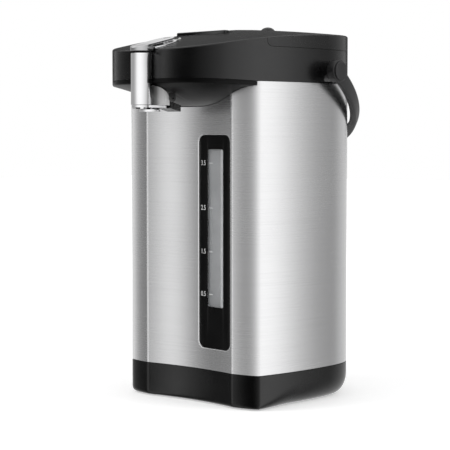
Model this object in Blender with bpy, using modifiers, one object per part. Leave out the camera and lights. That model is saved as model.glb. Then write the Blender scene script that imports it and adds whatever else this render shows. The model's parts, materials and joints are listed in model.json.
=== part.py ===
"""Thermo pot: a pump dispenser for hot water, with a rear-hinged lid and a bail handle.

Metres, +Z up. The spout looks along -Y and the water gauge is right of the middle of the front.
The pot is drawn from its front edge, and the last step moves it so that the origin is under
the middle of its bounding box.
"""
import math

import bmesh
import bpy
from mathutils import Matrix, Vector

# Clearances
GAP = 0.0003
OVERRUN = 0.004
WELD = 0.00001

# Plan of the body, seen from above
HALF_WIDTH = 0.0886
DEPTH = 0.165
WIDEST_INSET = 0.074
SIDE_RADIUS = 0.350
FRONT_NARROWING = 0.00276
FRONT_HOLLOW = 0.0095
FRONT_CORNER_WIDTH = 0.0225
FRONT_CORNER_DEPTH = 0.013
BACK_NARROWING = 0.0491
BACK_BULGE = 0.005
BACK_CORNER_DEPTH = 0.065
STEP_Y = 0.008
STEP_RAMP = 0.0004
HEAD_FRONT_Y = -0.047
HEAD_SIDE_PULL = 0.042
HEAD_FRONT_PULL = 0.052
FRONT_CORNER_SHARE = 0.7
BACK_CORNER_SHARE = 0.75
FRONT_STEPS = 8
CORNER_STEPS = 8
SIDE_STEPS = 4
BACK_CORNER_STEPS = 6
BACK_STEPS = 3

# Heights
BASE_TOP = 0.0310
BODY_HEIGHT = 0.2583
SEAM_RISE = 0.0021
STEEL_CENTRE_DROP = 0.0263
STEEL_STEP_DROP = 0.0041
HEAD_HEIGHT = 0.0447
CREASE_DROP = 0.017
CREASE_TOP_INSET = 0.035
CROWN_RISE = 0.006
CROWN_BEHIND_LID_FRONT = 0.0555
CROWN_POWER = 1.6
CROWN_SHARES = (1, 0.9, 0.77, 0.61, 0.42, 0.2)
LID_SIDE_HEIGHT = 0.0145
LID_FRONT_Y = 0.0195
LID_CORNER_RADIUS = 0.005
LID_CORNER_STEPS = 4

# Walls
BASE_WALL = 0.0025
STEEL_WALL = 0.0008
HEAD_WALL = 0.0024
LID_WALL = 0.0024
CHIN_WALL = 0.0022
EDGE_ROUND = 0.0016
EDGE_MIDDLE_SHARE = 0.33

# Base
COVER_Z = 0.0010
FOOT_SEAT = 0.0010
COVER_THICKNESS = 0.0026
ROUND_FRONT = 0.0022
ROUND_REAR = 0.0130
ROUND_BLEND_Y = 0.060
ROUND_RISE_SHARE = 1.5
ROUND_STEPS = 3
LIP_HEIGHT = 0.004
LIP_THICKNESS = 0.0015
DECK_THICKNESS = 0.0025
FOOT_RADIUS = 0.007
FOOT_TAPER = 0.0006
FOOT_FRONT_INSET = 0.0366
FOOT_FRONT_Y = 0.018
FOOT_REAR_INSET = 0.0406
FOOT_REAR_ROOM = 0.037
SCREW_INSET = 0.0286
SCREW_FRONT_Y = 0.040
SCREW_REAR_ROOM = 0.041
SCREW_BOSS_RADIUS = 0.004
SCREW_RADIUS = 0.0015
SCREW_LENGTH = 0.014
SCREW_HEAD_RADIUS = 0.003
SCREW_HEAD_HEIGHT = 0.0011

# Gauge
GAUGE_X = 0.0295
GAUGE_WIDTH = 0.041
GAUGE_FOOT = 0.0198
GAUGE_HEAD = 0.047
GAUGE_CORNER = 0.007
GAUGE_SUNK = 0.0010
GAUGE_THICKNESS = 0.0030
WINDOW_WIDTH = 0.0208
WINDOW_FOOT = 0.0372
WINDOW_HEAD = 0.0125
WINDOW_CORNER = 0.002
WINDOW_SUNK = 0.0016
WINDOW_THICKNESS = 0.0016
TUBE_SHIFT = 0.0005
TUBE_ROOM = 0.008
TUBE_RADIUS = 0.0034
TUBE_BORE = 0.0022
TUBE_DROP = 0.0173

# Spout
SPOUT_RADIUS = 0.0092
SPOUT_REACH = 0.0094
SPOUT_REAR_LENGTH = 0.02
SPOUT_REAR_CORNER = 0.006
SPOUT_HEIGHT = 0.0447
SPOUT_DROP = 0.0038
SPOUT_CURVE_INSET = 0.003
SPOUT_CURVE_DROP = 0.0065
SPOUT_CURVE_LENGTH = 0.0225
SPOUT_CURVE_HEIGHT = 0.0236
SPOUT_CURVE_STEPS = 8
RING_HEIGHT = 0.0032
RING_INSET = 0.0006
RING_CHAMFER = 0.0012
PIPE_INSET = 0.007
PIPE_RADIUS = 0.0032
PIPE_BORE = 0.0022
PIPE_END_DROP = 0.0025
PIPE_RUN_DROP = 0.0065
PIPE_BEND = 0.008
NOZZLE_INSET = 0.0035
NOZZLE_RADIUS = 0.009
NOZZLE_HEIGHT = 0.0022
NOZZLE_COLLAR_RADIUS = 0.0050
NOZZLE_COLLAR_HEIGHT = 0.010
CHIN_RIM = 0.0041
CHIN_TUCK = 0.0020

# Dispensing lever on the head
CAP_OVERLAP = 0.0003
CAP_REACH = 0.0098
CAP_LENGTH = 0.0497
CAP_LIFT = 0.0018
CAP_NOSE_HEIGHT = 0.0045
CAP_BROW_LENGTH = 0.0032
CAP_BROW_HEIGHT = 0.003
CAP_BACK_RISE = 0.0071
CAP_REAR_THICKNESS = 0.0013
CAP_SKIRT_ROOM = 0.0012
CAP_STEP_HEIGHT = 0.0052
CAP_PIVOT_INSET = 0.004
CAP_PIVOT_RISE = 0.0042
CAP_BARREL = 0.0022
CAP_LUG_HALF = 0.0035
CAP_EAR = 0.0022
CAP_PIN = 0.0010
ESCUTCHEON_INSET = 0.0015
ESCUTCHEON_REAR_ROOM = 0.0025
ESCUTCHEON_SIDE = 0.0017
ESCUTCHEON_BORDER = 0.0030
ESCUTCHEON_THICKNESS = 0.0016
ESCUTCHEON_SUNK = 0.0010
LENS_DISTANCE = 0.006
LENS_RADIUS = 0.0015
LENS_PROUD = 0.0003
BOARD_HALF_WIDTH = 0.026
BOARD_INSET = 0.011
BOARD_PAST_LENS = 0.016
BOARD_DROP = 0.0085
BOARD_THICKNESS = 0.0016
BOARD_POST_X = 0.022
BOARD_POST_INSET = 0.006
BOARD_POST_RADIUS = 0.0022
BOARD_POST_ROOT_SHARE = 0.7

# Cup lever behind the spout
CUP_PIVOT_ROOM = 0.002
CUP_PIVOT_DROP = 0.0148
CUP_BARREL = 0.0024
CUP_HALF_WIDTH = 0.0080
CUP_EAR = 0.0024
CUP_EAR_RADIUS = 0.0030
CUP_PIN = 0.0011
CUP_BLADE_LEAD = 0.0012
CUP_BLADE_REACH = 0.0123
CUP_BLADE_TOP_FRONT = 0.003
CUP_BLADE_TOP_REAR = 0.0059
CUP_BLADE_LOW_FRONT = 0.0085
CUP_BLADE_LOW_REAR = 0.0113

# Vessel and mouth
VESSEL_FRONT_Y = 0.0205
VESSEL_REAR_ROOM = 0.0085
VESSEL_WALL = 0.0010
VESSEL_LIFT = 0.029
SHOULDER_HEIGHT = 0.0165
VESSEL_HEEL = 0.008
HEEL_CORNER_SHARE = 0.25
SHOULDER_WIDTH = 0.011
NECK_DROP = 0.0135
FLANGE_WIDTH = 0.005
FLANGE_THICKNESS = 0.0011
DECK_DROP = 0.0075
DECK_WALL = 0.0025
MOUTH_STEP = 0.002
VESSEL_SEAL = 0.0014
SLEEVE_THICKNESS = 0.0036
SLEEVE_LIFT = 0.01
OUTLET_X = 0.010
OUTLET_FORWARD = 0.022
HEATER_WIDTH = 0.015
HEATER_BORE = 0.030
HEATER_THICKNESS = 0.0042
THERMOSTAT_RADIUS = 0.008
THERMOSTAT_HEIGHT = 0.010

# Pump
PUMP_BEHIND_TUBE = 0.0155
PUMP_RADIUS = 0.020
PUMP_WALL = 0.0022
PUMP_HEIGHT = 0.0117
MOTOR_RADIUS = 0.013
MOTOR_HEIGHT = 0.0107
SHAFT_RADIUS = 0.0015
SHAFT_HEIGHT = 0.0065
NIPPLE_HEIGHT = 0.0045
IMPELLER_RADIUS = 0.0140
IMPELLER_DISC = 0.0015
IMPELLER_HEIGHT = 0.0055
IMPELLER_HUB = 0.0035
VANE_COUNT = 6
VANE_THICKNESS = 0.0012

# Power parts
INLET_INSET = 0.0456
INLET_HALF_WIDTH = 0.013
INLET_LENGTH = 0.026
INLET_PROUD = 0.002
INLET_HEIGHT = 0.0105
INLET_WALL = 0.0026
INLET_SOCKET_DEPTH = 0.010
INLET_PIN_RADIUS = 0.0012
INLET_PIN_LENGTH = 0.006
INLET_PIN_SPREAD = 0.004
MAINS_X = -0.015
MAINS_BEHIND_VESSEL = 0.0035
MAINS_HALF_WIDTH = 0.035
MAINS_HALF_DEPTH = 0.028
MAINS_POST_HEIGHT = 0.0045
MAINS_POST_RADIUS = 0.0025
MAINS_POST_INSET = 0.006

# Lid
LID_PLATE_THICKNESS = 0.0018
PLUG_ROOM = 0.003
PLUG_DEPTH = 0.003
PLUG_WALL = 0.0022
SEAL_ROOM = 0.0015
SEAL_WIDTH = 0.0035
HINGE_PROUD = 0.006
HINGE_BARREL = 0.004
HINGE_EAR_RADIUS = 0.0045
HINGE_EAR = 0.006
HINGE_HALF = 0.0215
HINGE_PIN = 0.0015
HINGE_WEB = 0.003
HINGE_WEB_SIDE = 0.001
VENT_INSET = 0.049
VENT_RADIUS = 0.007
VENT_DOME = 0.0048
VENT_STEM = 0.0050
VENT_BORE = 0.0030
VENT_RIM = 0.0013
DOME_STEPS = 6
VENT_SIDES = 18
LATCH_HALF = 0.030
LATCH_INSET = 0.0019
LATCH_DEPTH = 0.0066
LATCH_RISE = 0.0022
LATCH_HEIGHT = 0.0072
LATCH_TRAVEL = 0.004
LATCH_FLANGE_INSET = 0.0026
LATCH_FLANGE_REACH = 0.002
LATCH_FLANGE_RISE = 0.001
LATCH_FLANGE_THICKNESS = 0.0015
LATCH_FLANGE_SIDE = 0.003

# Handle
HANDLE_BEHIND_WIDEST = 0.0017
HANDLE_RISE = 0.0103
HANDLE_DROOP_DEG = 35.0
BOSS_RADIUS = 0.0095
BOSS_PROUD = 0.0081
BOSS_ROOT_DEPTH = 0.0019
HANDLE_BORE = 0.0030
ARM_RADIUS = 0.0100
ARM_THICKNESS = 0.008
ARM_BORE_DEPTH = 0.006
ARM_CAP_RADIUS = 0.0085
ARM_CAP_THICKNESS = 0.0012
BAIL_SPREAD = 0.0032
BAIL_ROOM = 0.0387
BAIL_THICKNESS_ARM = 0.0050
BAIL_THICKNESS_GRIP = 0.0080
BAIL_DEPTH_ARM = 0.0140
BAIL_DEPTH_GRIP = 0.0110
BAIL_CHAMFER_SHARE = 0.3
BAIL_STEPS = 28
SMOOTH_ANGLE_DEG = 35.0
ROUND_SIDES = 24
LARGE_ROUND_SIDES = 40
SMALL_ROUND_SIDES = 12
TUBE_RESOLUTION = 2

# Places and sizes that follow from the ones above
WIDEST_Y = DEPTH - WIDEST_INSET
STEP_HALF = HALF_WIDTH - (WIDEST_Y - STEP_Y) ** 2 / (2 * SIDE_RADIUS)
FRONT_HALF = STEP_HALF - FRONT_NARROWING
BACK_HALF = HALF_WIDTH - BACK_NARROWING
BACK_CORNER_Y = DEPTH - BACK_CORNER_DEPTH
SEAM_SIDE_Z = BASE_TOP + BODY_HEIGHT
CREASE_TOP_Y = DEPTH - CREASE_TOP_INSET
CROWN_Y = LID_FRONT_Y + CROWN_BEHIND_LID_FRONT
FOOT_FRONT_X = HALF_WIDTH - FOOT_FRONT_INSET
FOOT_REAR_X = HALF_WIDTH - FOOT_REAR_INSET
FOOT_REAR_Y = DEPTH - FOOT_REAR_ROOM
SCREW_X = HALF_WIDTH - SCREW_INSET
SCREW_REAR_Y = DEPTH - SCREW_REAR_ROOM
GAUGE_BOTTOM_Z = BASE_TOP + GAUGE_FOOT
TUBE_X = GAUGE_X + TUBE_SHIFT
TUBE_Y = FRONT_HOLLOW + TUBE_ROOM
SPOUT_Y = HEAD_FRONT_Y - SPOUT_REACH
SPOUT_REAR_Y = HEAD_FRONT_Y + SPOUT_REAR_LENGTH
SPOUT_CURVE_Y = HEAD_FRONT_Y - SPOUT_CURVE_INSET
PIPE_Y = HEAD_FRONT_Y + PIPE_INSET
NOZZLE_Y = HEAD_FRONT_Y + NOZZLE_INSET
CAP_HALF_WIDTH = SPOUT_RADIUS + CAP_OVERLAP
CAP_SKIRT_REAR_Y = HEAD_FRONT_Y - CAP_SKIRT_ROOM
ESCUTCHEON_FRONT_Y = HEAD_FRONT_Y + ESCUTCHEON_INSET
BOARD_FRONT_Y = HEAD_FRONT_Y + BOARD_INSET
VESSEL_RADIUS = (DEPTH - VESSEL_REAR_ROOM - VESSEL_FRONT_Y) / 2
VESSEL_BOTTOM_Z = BASE_TOP + VESSEL_LIFT
HEATER_RADIUS = HEATER_BORE + HEATER_WIDTH
PUMP_BASE_Z = BASE_TOP + GAP + MOTOR_HEIGHT + GAP
INLET_X = HALF_WIDTH - INLET_INSET
INLET_REAR_Y = DEPTH + INLET_PROUD
HINGE_Y = DEPTH + HINGE_PROUD
VENT_Y = DEPTH - VENT_INSET
LATCH_FRONT_Y = LID_FRONT_Y + LATCH_INSET
BOSS_REACH_X = HALF_WIDTH + BOSS_PROUD
BOSS_ROOT_X = HALF_WIDTH - BOSS_ROOT_DEPTH
FRONT_CORNER_X = FRONT_HALF - FRONT_CORNER_WIDTH
SEAM_FRONT_Z = SEAM_SIDE_Z + SEAM_RISE
STEEL_CENTRE_Z = SEAM_SIDE_Z - STEEL_CENTRE_DROP
STEEL_STEP_Z = SEAM_SIDE_Z - STEEL_STEP_DROP
CREASE_TOP_Z = SEAM_SIDE_Z + HEAD_HEIGHT
GAUGE_TOP_Z = SEAM_SIDE_Z - GAUGE_HEAD
WINDOW_BOTTOM_Z = GAUGE_BOTTOM_Z + WINDOW_FOOT
TUBE_TOP_Z = SEAM_SIDE_Z - TUBE_DROP
CAP_FRONT_Y = SPOUT_Y - CAP_REACH
ESCUTCHEON_HALF = CAP_HALF_WIDTH + ESCUTCHEON_SIDE
CUP_PIVOT_Y = SPOUT_REAR_Y + CUP_PIVOT_ROOM
CUP_PIVOT_Z = SEAM_SIDE_Z - CUP_PIVOT_DROP
VESSEL_Y = VESSEL_FRONT_Y + VESSEL_RADIUS
NECK_RADIUS = VESSEL_RADIUS - SHOULDER_WIDTH
SLEEVE_BOTTOM_Z = VESSEL_BOTTOM_Z + SLEEVE_LIFT
PUMP_X = TUBE_X
PUMP_Y = TUBE_Y + PUMP_BEHIND_TUBE
INLET_FRONT_Y = INLET_REAR_Y - INLET_LENGTH
LATCH_REAR_Y = LATCH_FRONT_Y + LATCH_DEPTH
LATCH_FLANGE_FRONT_Y = LATCH_FRONT_Y + LATCH_FLANGE_INSET
HANDLE_Y = WIDEST_Y + HANDLE_BEHIND_WIDEST
HANDLE_Z = SEAM_SIDE_Z + HANDLE_RISE
ARM_INNER_X = BOSS_REACH_X + GAP
CROWN_TOP_Z = CREASE_TOP_Z + CROWN_RISE
LID_SEAM_Z = CREASE_TOP_Z - LID_SIDE_HEIGHT
WINDOW_TOP_Z = GAUGE_TOP_Z - WINDOW_HEAD
CAP_REAR_Y = CAP_FRONT_Y + CAP_LENGTH
CAP_BROW_Y = CAP_FRONT_Y + CAP_BROW_LENGTH
CUP_BLADE_FRONT_Y = CUP_PIVOT_Y - CUP_BLADE_LEAD
CUP_BLADE_REAR_Y = CUP_PIVOT_Y + CUP_BLADE_REACH
CUP_BLADE_TOP_FRONT_Z = CUP_PIVOT_Z - CUP_BLADE_TOP_FRONT
CUP_BLADE_TOP_REAR_Z = CUP_PIVOT_Z - CUP_BLADE_TOP_REAR
CUP_BLADE_LOW_FRONT_Z = CUP_PIVOT_Z - CUP_BLADE_LOW_FRONT
CUP_BLADE_LOW_REAR_Z = CUP_PIVOT_Z - CUP_BLADE_LOW_REAR
FLANGE_RADIUS = NECK_RADIUS + FLANGE_WIDTH
MOUTH_RADIUS = NECK_RADIUS - MOUTH_STEP
OUTLET_Y = VESSEL_Y - OUTLET_FORWARD
MAINS_Y = VESSEL_Y + MAINS_BEHIND_VESSEL
LATCH_TOP_Z = CREASE_TOP_Z + LATCH_RISE
LATCH_FLANGE_REAR_Y = LATCH_REAR_Y + LATCH_FLANGE_REACH
ARM_OUTER_X = ARM_INNER_X + ARM_THICKNESS
BAIL_HALF_WIDTH = ARM_INNER_X + BAIL_SPREAD
BAIL_REACH = DEPTH - HANDLE_Y + BAIL_ROOM
PANEL_EDGE_Z = CREASE_TOP_Z - CREASE_DROP
SPOUT_TOP_Z = PANEL_EDGE_Z - SPOUT_DROP
CAP_PIVOT_Y = CAP_REAR_Y - CAP_PIVOT_INSET
ESCUTCHEON_REAR_Y = CAP_REAR_Y + ESCUTCHEON_REAR_ROOM
BOARD_Z = PANEL_EDGE_Z - BOARD_DROP
DECK_Z = LID_SEAM_Z - DECK_DROP
PLUG_RADIUS = MOUTH_RADIUS - PLUG_ROOM
SEAL_INNER = MOUTH_RADIUS + SEAL_ROOM
HINGE_Z = LID_SEAM_Z
LATCH_BOTTOM_Z = LATCH_TOP_Z - LATCH_HEIGHT
SPOUT_BOTTOM_Z = SPOUT_TOP_Z - SPOUT_HEIGHT
PIPE_RUN_Z = BOARD_Z - PIPE_RUN_DROP
CAP_BOTTOM_Z = SPOUT_TOP_Z + CAP_LIFT
LENS_Y = ESCUTCHEON_REAR_Y + LENS_DISTANCE
NECK_Z = DECK_Z - NECK_DROP
PLUG_BOTTOM_Z = DECK_Z - PLUG_DEPTH
SEAL_OUTER = SEAL_INNER + SEAL_WIDTH
LATCH_FLANGE_TOP_Z = LATCH_BOTTOM_Z + LATCH_FLANGE_RISE
SPOUT_CURVE_Z = SPOUT_BOTTOM_Z - SPOUT_CURVE_DROP
PIPE_END_Z = SPOUT_BOTTOM_Z - PIPE_END_DROP
CAP_NOSE_Z = CAP_BOTTOM_Z + CAP_NOSE_HEIGHT
CAP_STEP_Z = CAP_BOTTOM_Z + CAP_STEP_HEIGHT
CAP_PIVOT_Z = CAP_BOTTOM_Z + CAP_PIVOT_RISE
BOARD_REAR_Y = LENS_Y + BOARD_PAST_LENS
VESSEL_SHOULDER_Z = NECK_Z - SHOULDER_HEIGHT
CAP_BROW_Z = CAP_NOSE_Z + CAP_BROW_HEIGHT
CAP_BACK_Z = CAP_BROW_Z + CAP_BACK_RISE


def smoothstep(value):
    """Ease from 0 to 1 as the value goes from 0 to 1."""
    t = min(max(value, 0), 1)
    return t * t * (3 - 2 * t)


# Plan outlines, as half outlines from the middle of the front to the middle of the back

def cubic(start, pull_start, pull_end, end, count):
    """Points along a cubic curve, without its last point."""
    points = []
    for i in range(count):
        t = i / count
        weights = ((1 - t) ** 3, 3 * t * (1 - t) ** 2, 3 * t * t * (1 - t), t ** 3)
        corners = (start, pull_start, pull_end, end)
        x = sum(w * c[0] for w, c in zip(weights, corners))
        y = sum(w * c[1] for w, c in zip(weights, corners))
        points.append((x, y))
    return points


def rounded_corner(start, start_slope, end, end_slope, share, count):
    """Round the corner between two lines, given as points and direction vectors."""
    cross = start_slope[0] * end_slope[1] - start_slope[1] * end_slope[0]
    across = (end[0] - start[0], end[1] - start[1])
    reach = (across[0] * end_slope[1] - across[1] * end_slope[0]) / cross
    corner = (start[0] + reach * start_slope[0], start[1] + reach * start_slope[1])
    pull_start = tuple(s + share * (c - s) for s, c in zip(start, corner))
    pull_end = tuple(e + share * (c - e) for e, c in zip(end, corner))
    return cubic(start, pull_start, pull_end, end, count)


def side_x(y):
    """Half width of the pot at a depth."""
    return HALF_WIDTH - (y - WIDEST_Y) ** 2 / (2 * SIDE_RADIUS)


def side_slope(y):
    return (-(y - WIDEST_Y) / SIDE_RADIUS, 1)


def front_y(x):
    """The shallow hollow of the front."""
    return FRONT_HOLLOW * (1 - (x / FRONT_HALF) ** 2)


def back_y(x):
    return DEPTH - BACK_BULGE * (x / BACK_HALF) ** 2


def body_front_half():
    """The hollow front up to a faint crease, then the wide corner up to the side."""
    points = []
    for i in range(FRONT_STEPS):
        x = FRONT_CORNER_X * i / FRONT_STEPS
        points.append((x, front_y(x)))
    start = (FRONT_CORNER_X, front_y(FRONT_CORNER_X))
    end = (side_x(FRONT_CORNER_DEPTH), FRONT_CORNER_DEPTH)
    points += rounded_corner(start, (1, 0), end, side_slope(FRONT_CORNER_DEPTH),
                             FRONT_CORNER_SHARE, CORNER_STEPS)
    points.append(end)
    return points


def head_front_half():
    end = (side_x(STEP_Y), STEP_Y)
    slope = side_slope(STEP_Y)
    pull_end = (end[0] - HEAD_SIDE_PULL * slope[0], end[1] - HEAD_SIDE_PULL * slope[1])
    pull_start = (HEAD_FRONT_PULL, HEAD_FRONT_Y)
    points = cubic((0, HEAD_FRONT_Y), pull_start, pull_end, end, FRONT_STEPS + CORNER_STEPS - 1)
    points.append(end)
    points.append((side_x(FRONT_CORNER_DEPTH), FRONT_CORNER_DEPTH))
    return points


def rear_half():
    ramp_start = FRONT_CORNER_DEPTH + GAP + GAP
    first = ramp_start + STEP_RAMP
    points = [(side_x(y), y) for y in (ramp_start, first)]
    for i in range(1, SIDE_STEPS):
        y = first + (BACK_CORNER_Y - first) * i / SIDE_STEPS
        points.append((side_x(y), y))
    start = (side_x(BACK_CORNER_Y), BACK_CORNER_Y)
    end = (BACK_HALF, back_y(BACK_HALF))
    end_slope = (1, -2 * BACK_BULGE / BACK_HALF)
    points += rounded_corner(start, side_slope(BACK_CORNER_Y), end, end_slope,
                             BACK_CORNER_SHARE, BACK_CORNER_STEPS)
    for i in range(BACK_STEPS + 1):
        x = BACK_HALF * (1 - i / BACK_STEPS)
        points.append((x, back_y(x)))
    return points


def whole(half):
    """Mirror a half outline, counterclockwise from the middle of the front."""
    return half + [(-x, y) for x, y in reversed(half[1:-1])]


def body_outline():
    return whole(body_front_half() + rear_half())


def head_outline():
    return whole(head_front_half() + rear_half())


STEP_INDEX = FRONT_STEPS + CORNER_STEPS


def inset(outline, distance):
    """Move an outline inwards by a distance, or by a function of the depth."""
    points = []
    for i, (x, y) in enumerate(outline):
        before = outline[i - 1]
        after = outline[(i + 1) % len(outline)]
        along = Vector((after[0] - before[0], after[1] - before[1])).normalized()
        amount = distance(y) if callable(distance) else distance
        points.append((x - along.y * amount, y + along.x * amount))
    return points


def clipped(outline, y_min):
    """The part of an outline behind a straight front edge."""
    points = []
    for i, point in enumerate(outline):
        before = outline[i - 1]
        if (before[1] < y_min) != (point[1] < y_min):
            t = (y_min - before[1]) / (point[1] - before[1])
            points.append((before[0] + t * (point[0] - before[0]), y_min))
        if point[1] >= y_min:
            points.append(point)
    return points


def at_height(outline, height):
    """Give an outline a height, or a height that is a function of the depth."""
    if callable(height):
        return [(x, y, height(y)) for x, y in outline]
    return [(x, y, height) for x, y in outline]


# Heights that follow the plan

def seam_z(y):
    """Lower edge of the head, which rises a little towards the front."""
    forward = min(max((STEP_Y - y) / (STEP_Y - HEAD_FRONT_Y), 0), 1)
    return SEAM_SIDE_Z + (SEAM_FRONT_Z - SEAM_SIDE_Z) * forward


def crease_z(y):
    """Edge between the wall and the top of the head."""
    return CREASE_TOP_Z - CREASE_DROP * ((CREASE_TOP_Y - y) / (CREASE_TOP_Y - HEAD_FRONT_Y)) ** 2


def centre_z(y):
    """Height of the top of the head along its middle."""
    edge = HEAD_FRONT_Y if y < CROWN_Y else DEPTH
    share = (y - CROWN_Y) / (edge - CROWN_Y)
    return CROWN_TOP_Z - (CROWN_TOP_Z - crease_z(edge)) * share ** CROWN_POWER


def vent_seat_z():
    """Top of the vent cap's rim, whose underside just clears the lid."""
    return centre_z(VENT_Y - VENT_RADIUS) + GAP + VENT_RIM


def steel_edge_heights():
    """Height of the steel's front edge under the head, for the front half outline."""
    half = body_front_half()
    lengths = [0]
    for a, b in zip(half, half[1:]):
        lengths.append(lengths[-1] + math.dist(a, b))
    return [STEEL_CENTRE_Z + (STEEL_STEP_Z - STEEL_CENTRE_Z) * smoothstep(length / lengths[-1])
            for length in lengths]


# Scene, materials and objects

def clear_scene():
    for item in list(bpy.data.objects):
        bpy.data.objects.remove(item)


def new_collection(name):
    collection = bpy.data.collections.new(name)
    bpy.context.scene.collection.children.link(collection)
    return collection


def new_empty(name, location, parent=None):
    empty = bpy.data.objects.new(name, None)
    PARTS.objects.link(empty)
    empty.location = location
    empty.parent = parent
    empty.empty_display_size = FOOT_RADIUS
    return empty


def new_material(name, colour, roughness, metallic=0.0, alpha=1.0):
    material = bpy.data.materials.new(name)
    material.use_nodes = True
    shader = material.node_tree.nodes["Principled BSDF"]
    shader.inputs["Base Color"].default_value = (*colour, 1.0)
    shader.inputs["Roughness"].default_value = roughness
    shader.inputs["Metallic"].default_value = metallic
    shader.inputs["Alpha"].default_value = alpha
    material.diffuse_color = (*colour, alpha)
    return material


def link(item, material, carrier):
    """Put an object among the parts, with its material, under the empty that carries it."""
    PARTS.objects.link(item)
    item.data.materials.clear()
    item.data.materials.append(material)
    attach(item, carrier)
    return item


def attach(item, carrier):
    """Hang an object that is drawn in the pot's own frame under an empty."""
    if carrier is not ORIGIN and carrier is not HANDLE_AXIS:
        item.location = item.location - carrier.location
    item.parent = carrier


def smooth(mesh):
    mesh.shade_smooth()
    mesh.set_sharp_from_angle(angle=math.radians(SMOOTH_ANGLE_DEG))


def mesh_object(name, bm):
    bmesh.ops.recalc_face_normals(bm, faces=bm.faces)
    mesh = bpy.data.meshes.new(name)
    bm.to_mesh(mesh)
    bm.free()
    smooth(mesh)
    return bpy.data.objects.new(name, mesh)


def cutter(item, carrier=None):
    """Keep an object as a hidden tool of a Boolean."""
    CUTTERS.objects.link(item)
    attach(item, carrier or ORIGIN)
    item.hide_render = True
    item.display_type = "WIRE"
    return item


def combine(target, tool, operation):
    modifier = target.modifiers.new(tool.name, "BOOLEAN")
    modifier.operation = operation
    modifier.solver = "EXACT"
    modifier.object = tool
    return target


def cut(target, *tools):
    for tool in tools:
        combine(target, tool, "DIFFERENCE")
    return target


def join(target, *tools):
    for tool in tools:
        combine(target, tool, "UNION")
    return target


# Shapes

def loft(name, rings, pole=None, looped=False):
    """Skin a row of closed rings. A looped row meets itself, any other is capped."""
    bm = bmesh.new()
    rows = [[bm.verts.new(point) for point in ring] for ring in rings]
    pairs = list(zip(rows, rows[1:]))
    if looped:
        pairs.append((rows[-1], rows[0]))
    for low, high in pairs:
        for i in range(len(low)):
            j = (i + 1) % len(low)
            bm.faces.new((low[i], low[j], high[j], high[i]))
    if not looped:
        bm.faces.new(list(reversed(rows[0])))
        if pole is None:
            bm.faces.new(rows[-1])
        else:
            tip = bm.verts.new(pole)
            for i, corner in enumerate(rows[-1]):
                bm.faces.new((corner, rows[-1][(i + 1) % len(rows[-1])], tip))
    bmesh.ops.triangulate(bm, faces=bm.faces)
    return mesh_object(name, bm)


def box(name, low, high):
    """A box between two corners."""
    size = [b - a for a, b in zip(low, high)]
    middle = [(a + b) / 2 for a, b in zip(low, high)]
    bm = bmesh.new()
    bmesh.ops.create_cube(bm, size=1, matrix=Matrix.Diagonal((*size, 1)))
    item = mesh_object(name, bm)
    item.location = middle
    return item


def rod(name, radius, start, end, sides=ROUND_SIDES, end_radius=None):
    """A round bar from one point to another, which may taper."""
    start = Vector(start)
    end = Vector(end)
    bm = bmesh.new()
    bmesh.ops.create_cone(bm, cap_ends=True, segments=sides, radius1=radius,
                          radius2=radius if end_radius is None else end_radius,
                          depth=(end - start).length)
    item = mesh_object(name, bm)
    item.location = (start + end) / 2
    item.rotation_euler = (end - start).to_track_quat("Z", "Y").to_euler()
    return item


def turned(name, profile, place, closed=False, sides=ROUND_SIDES):
    """Turn a profile of radii and heights about an upright axis at a place in the plan."""
    mesh = bpy.data.meshes.new(name)
    edges = [(i, i + 1) for i in range(len(profile) - 1)]
    if closed:
        edges.append((len(profile) - 1, 0))
    mesh.from_pydata([(r, 0, z) for r, z in profile], edges, [])
    item = bpy.data.objects.new(name, mesh)
    item.location = (*place, 0)
    screw = item.modifiers.new("turn", "SCREW")
    screw.steps = sides
    screw.render_steps = sides
    screw.use_merge_vertices = True
    screw.merge_threshold = WELD
    screw.use_smooth_shade = True
    return item


def ring_profile(inner, outer, low, high):
    return [(outer, high), (outer, low), (inner, low), (inner, high)]


PLANE_TURNS = {
    "XY": Matrix.Identity(3),
    "YZ": Matrix(((0, 0, 1), (1, 0, 0), (0, 1, 0))),
    "XZ": Matrix(((1, 0, 0), (0, 0, -1), (0, 1, 0))),
}
PLANE_NORMALS = {"XY": Vector((0, 0, 1)), "YZ": Vector((1, 0, 0)), "XZ": Vector((0, 1, 0))}


def mesh_from_curve(name, curve_object):
    """Turn a curve into a mesh object with welded caps."""
    bpy.context.scene.collection.objects.link(curve_object)
    bpy.context.view_layer.update()
    graph = bpy.context.evaluated_depsgraph_get()
    mesh = bpy.data.meshes.new_from_object(curve_object.evaluated_get(graph))
    bm = bmesh.new()
    bm.from_mesh(mesh)
    bmesh.ops.remove_doubles(bm, verts=bm.verts, dist=WELD)
    item = mesh_object(name, bm)
    item.matrix_world = curve_object.matrix_world
    bpy.data.objects.remove(curve_object)
    return item


def slab(name, outline, low, high, plane="XY"):
    """A flat outline in one plane, made solid from one level to another across it."""
    curve = bpy.data.curves.new(name, "CURVE")
    curve.dimensions = "2D"
    curve.fill_mode = "BOTH"
    curve.extrude = (high - low) / 2
    spline = curve.splines.new("POLY")
    spline.points.add(len(outline) - 1)
    for point, (u, v) in zip(spline.points, outline):
        point.co = (u, v, 0, 1)
    spline.use_cyclic_u = True
    item = bpy.data.objects.new(name + "_outline", curve)
    item.rotation_euler = PLANE_TURNS[plane].to_euler()
    item.location = PLANE_NORMALS[plane] * ((low + high) / 2)
    return mesh_from_curve(name, item)


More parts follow.
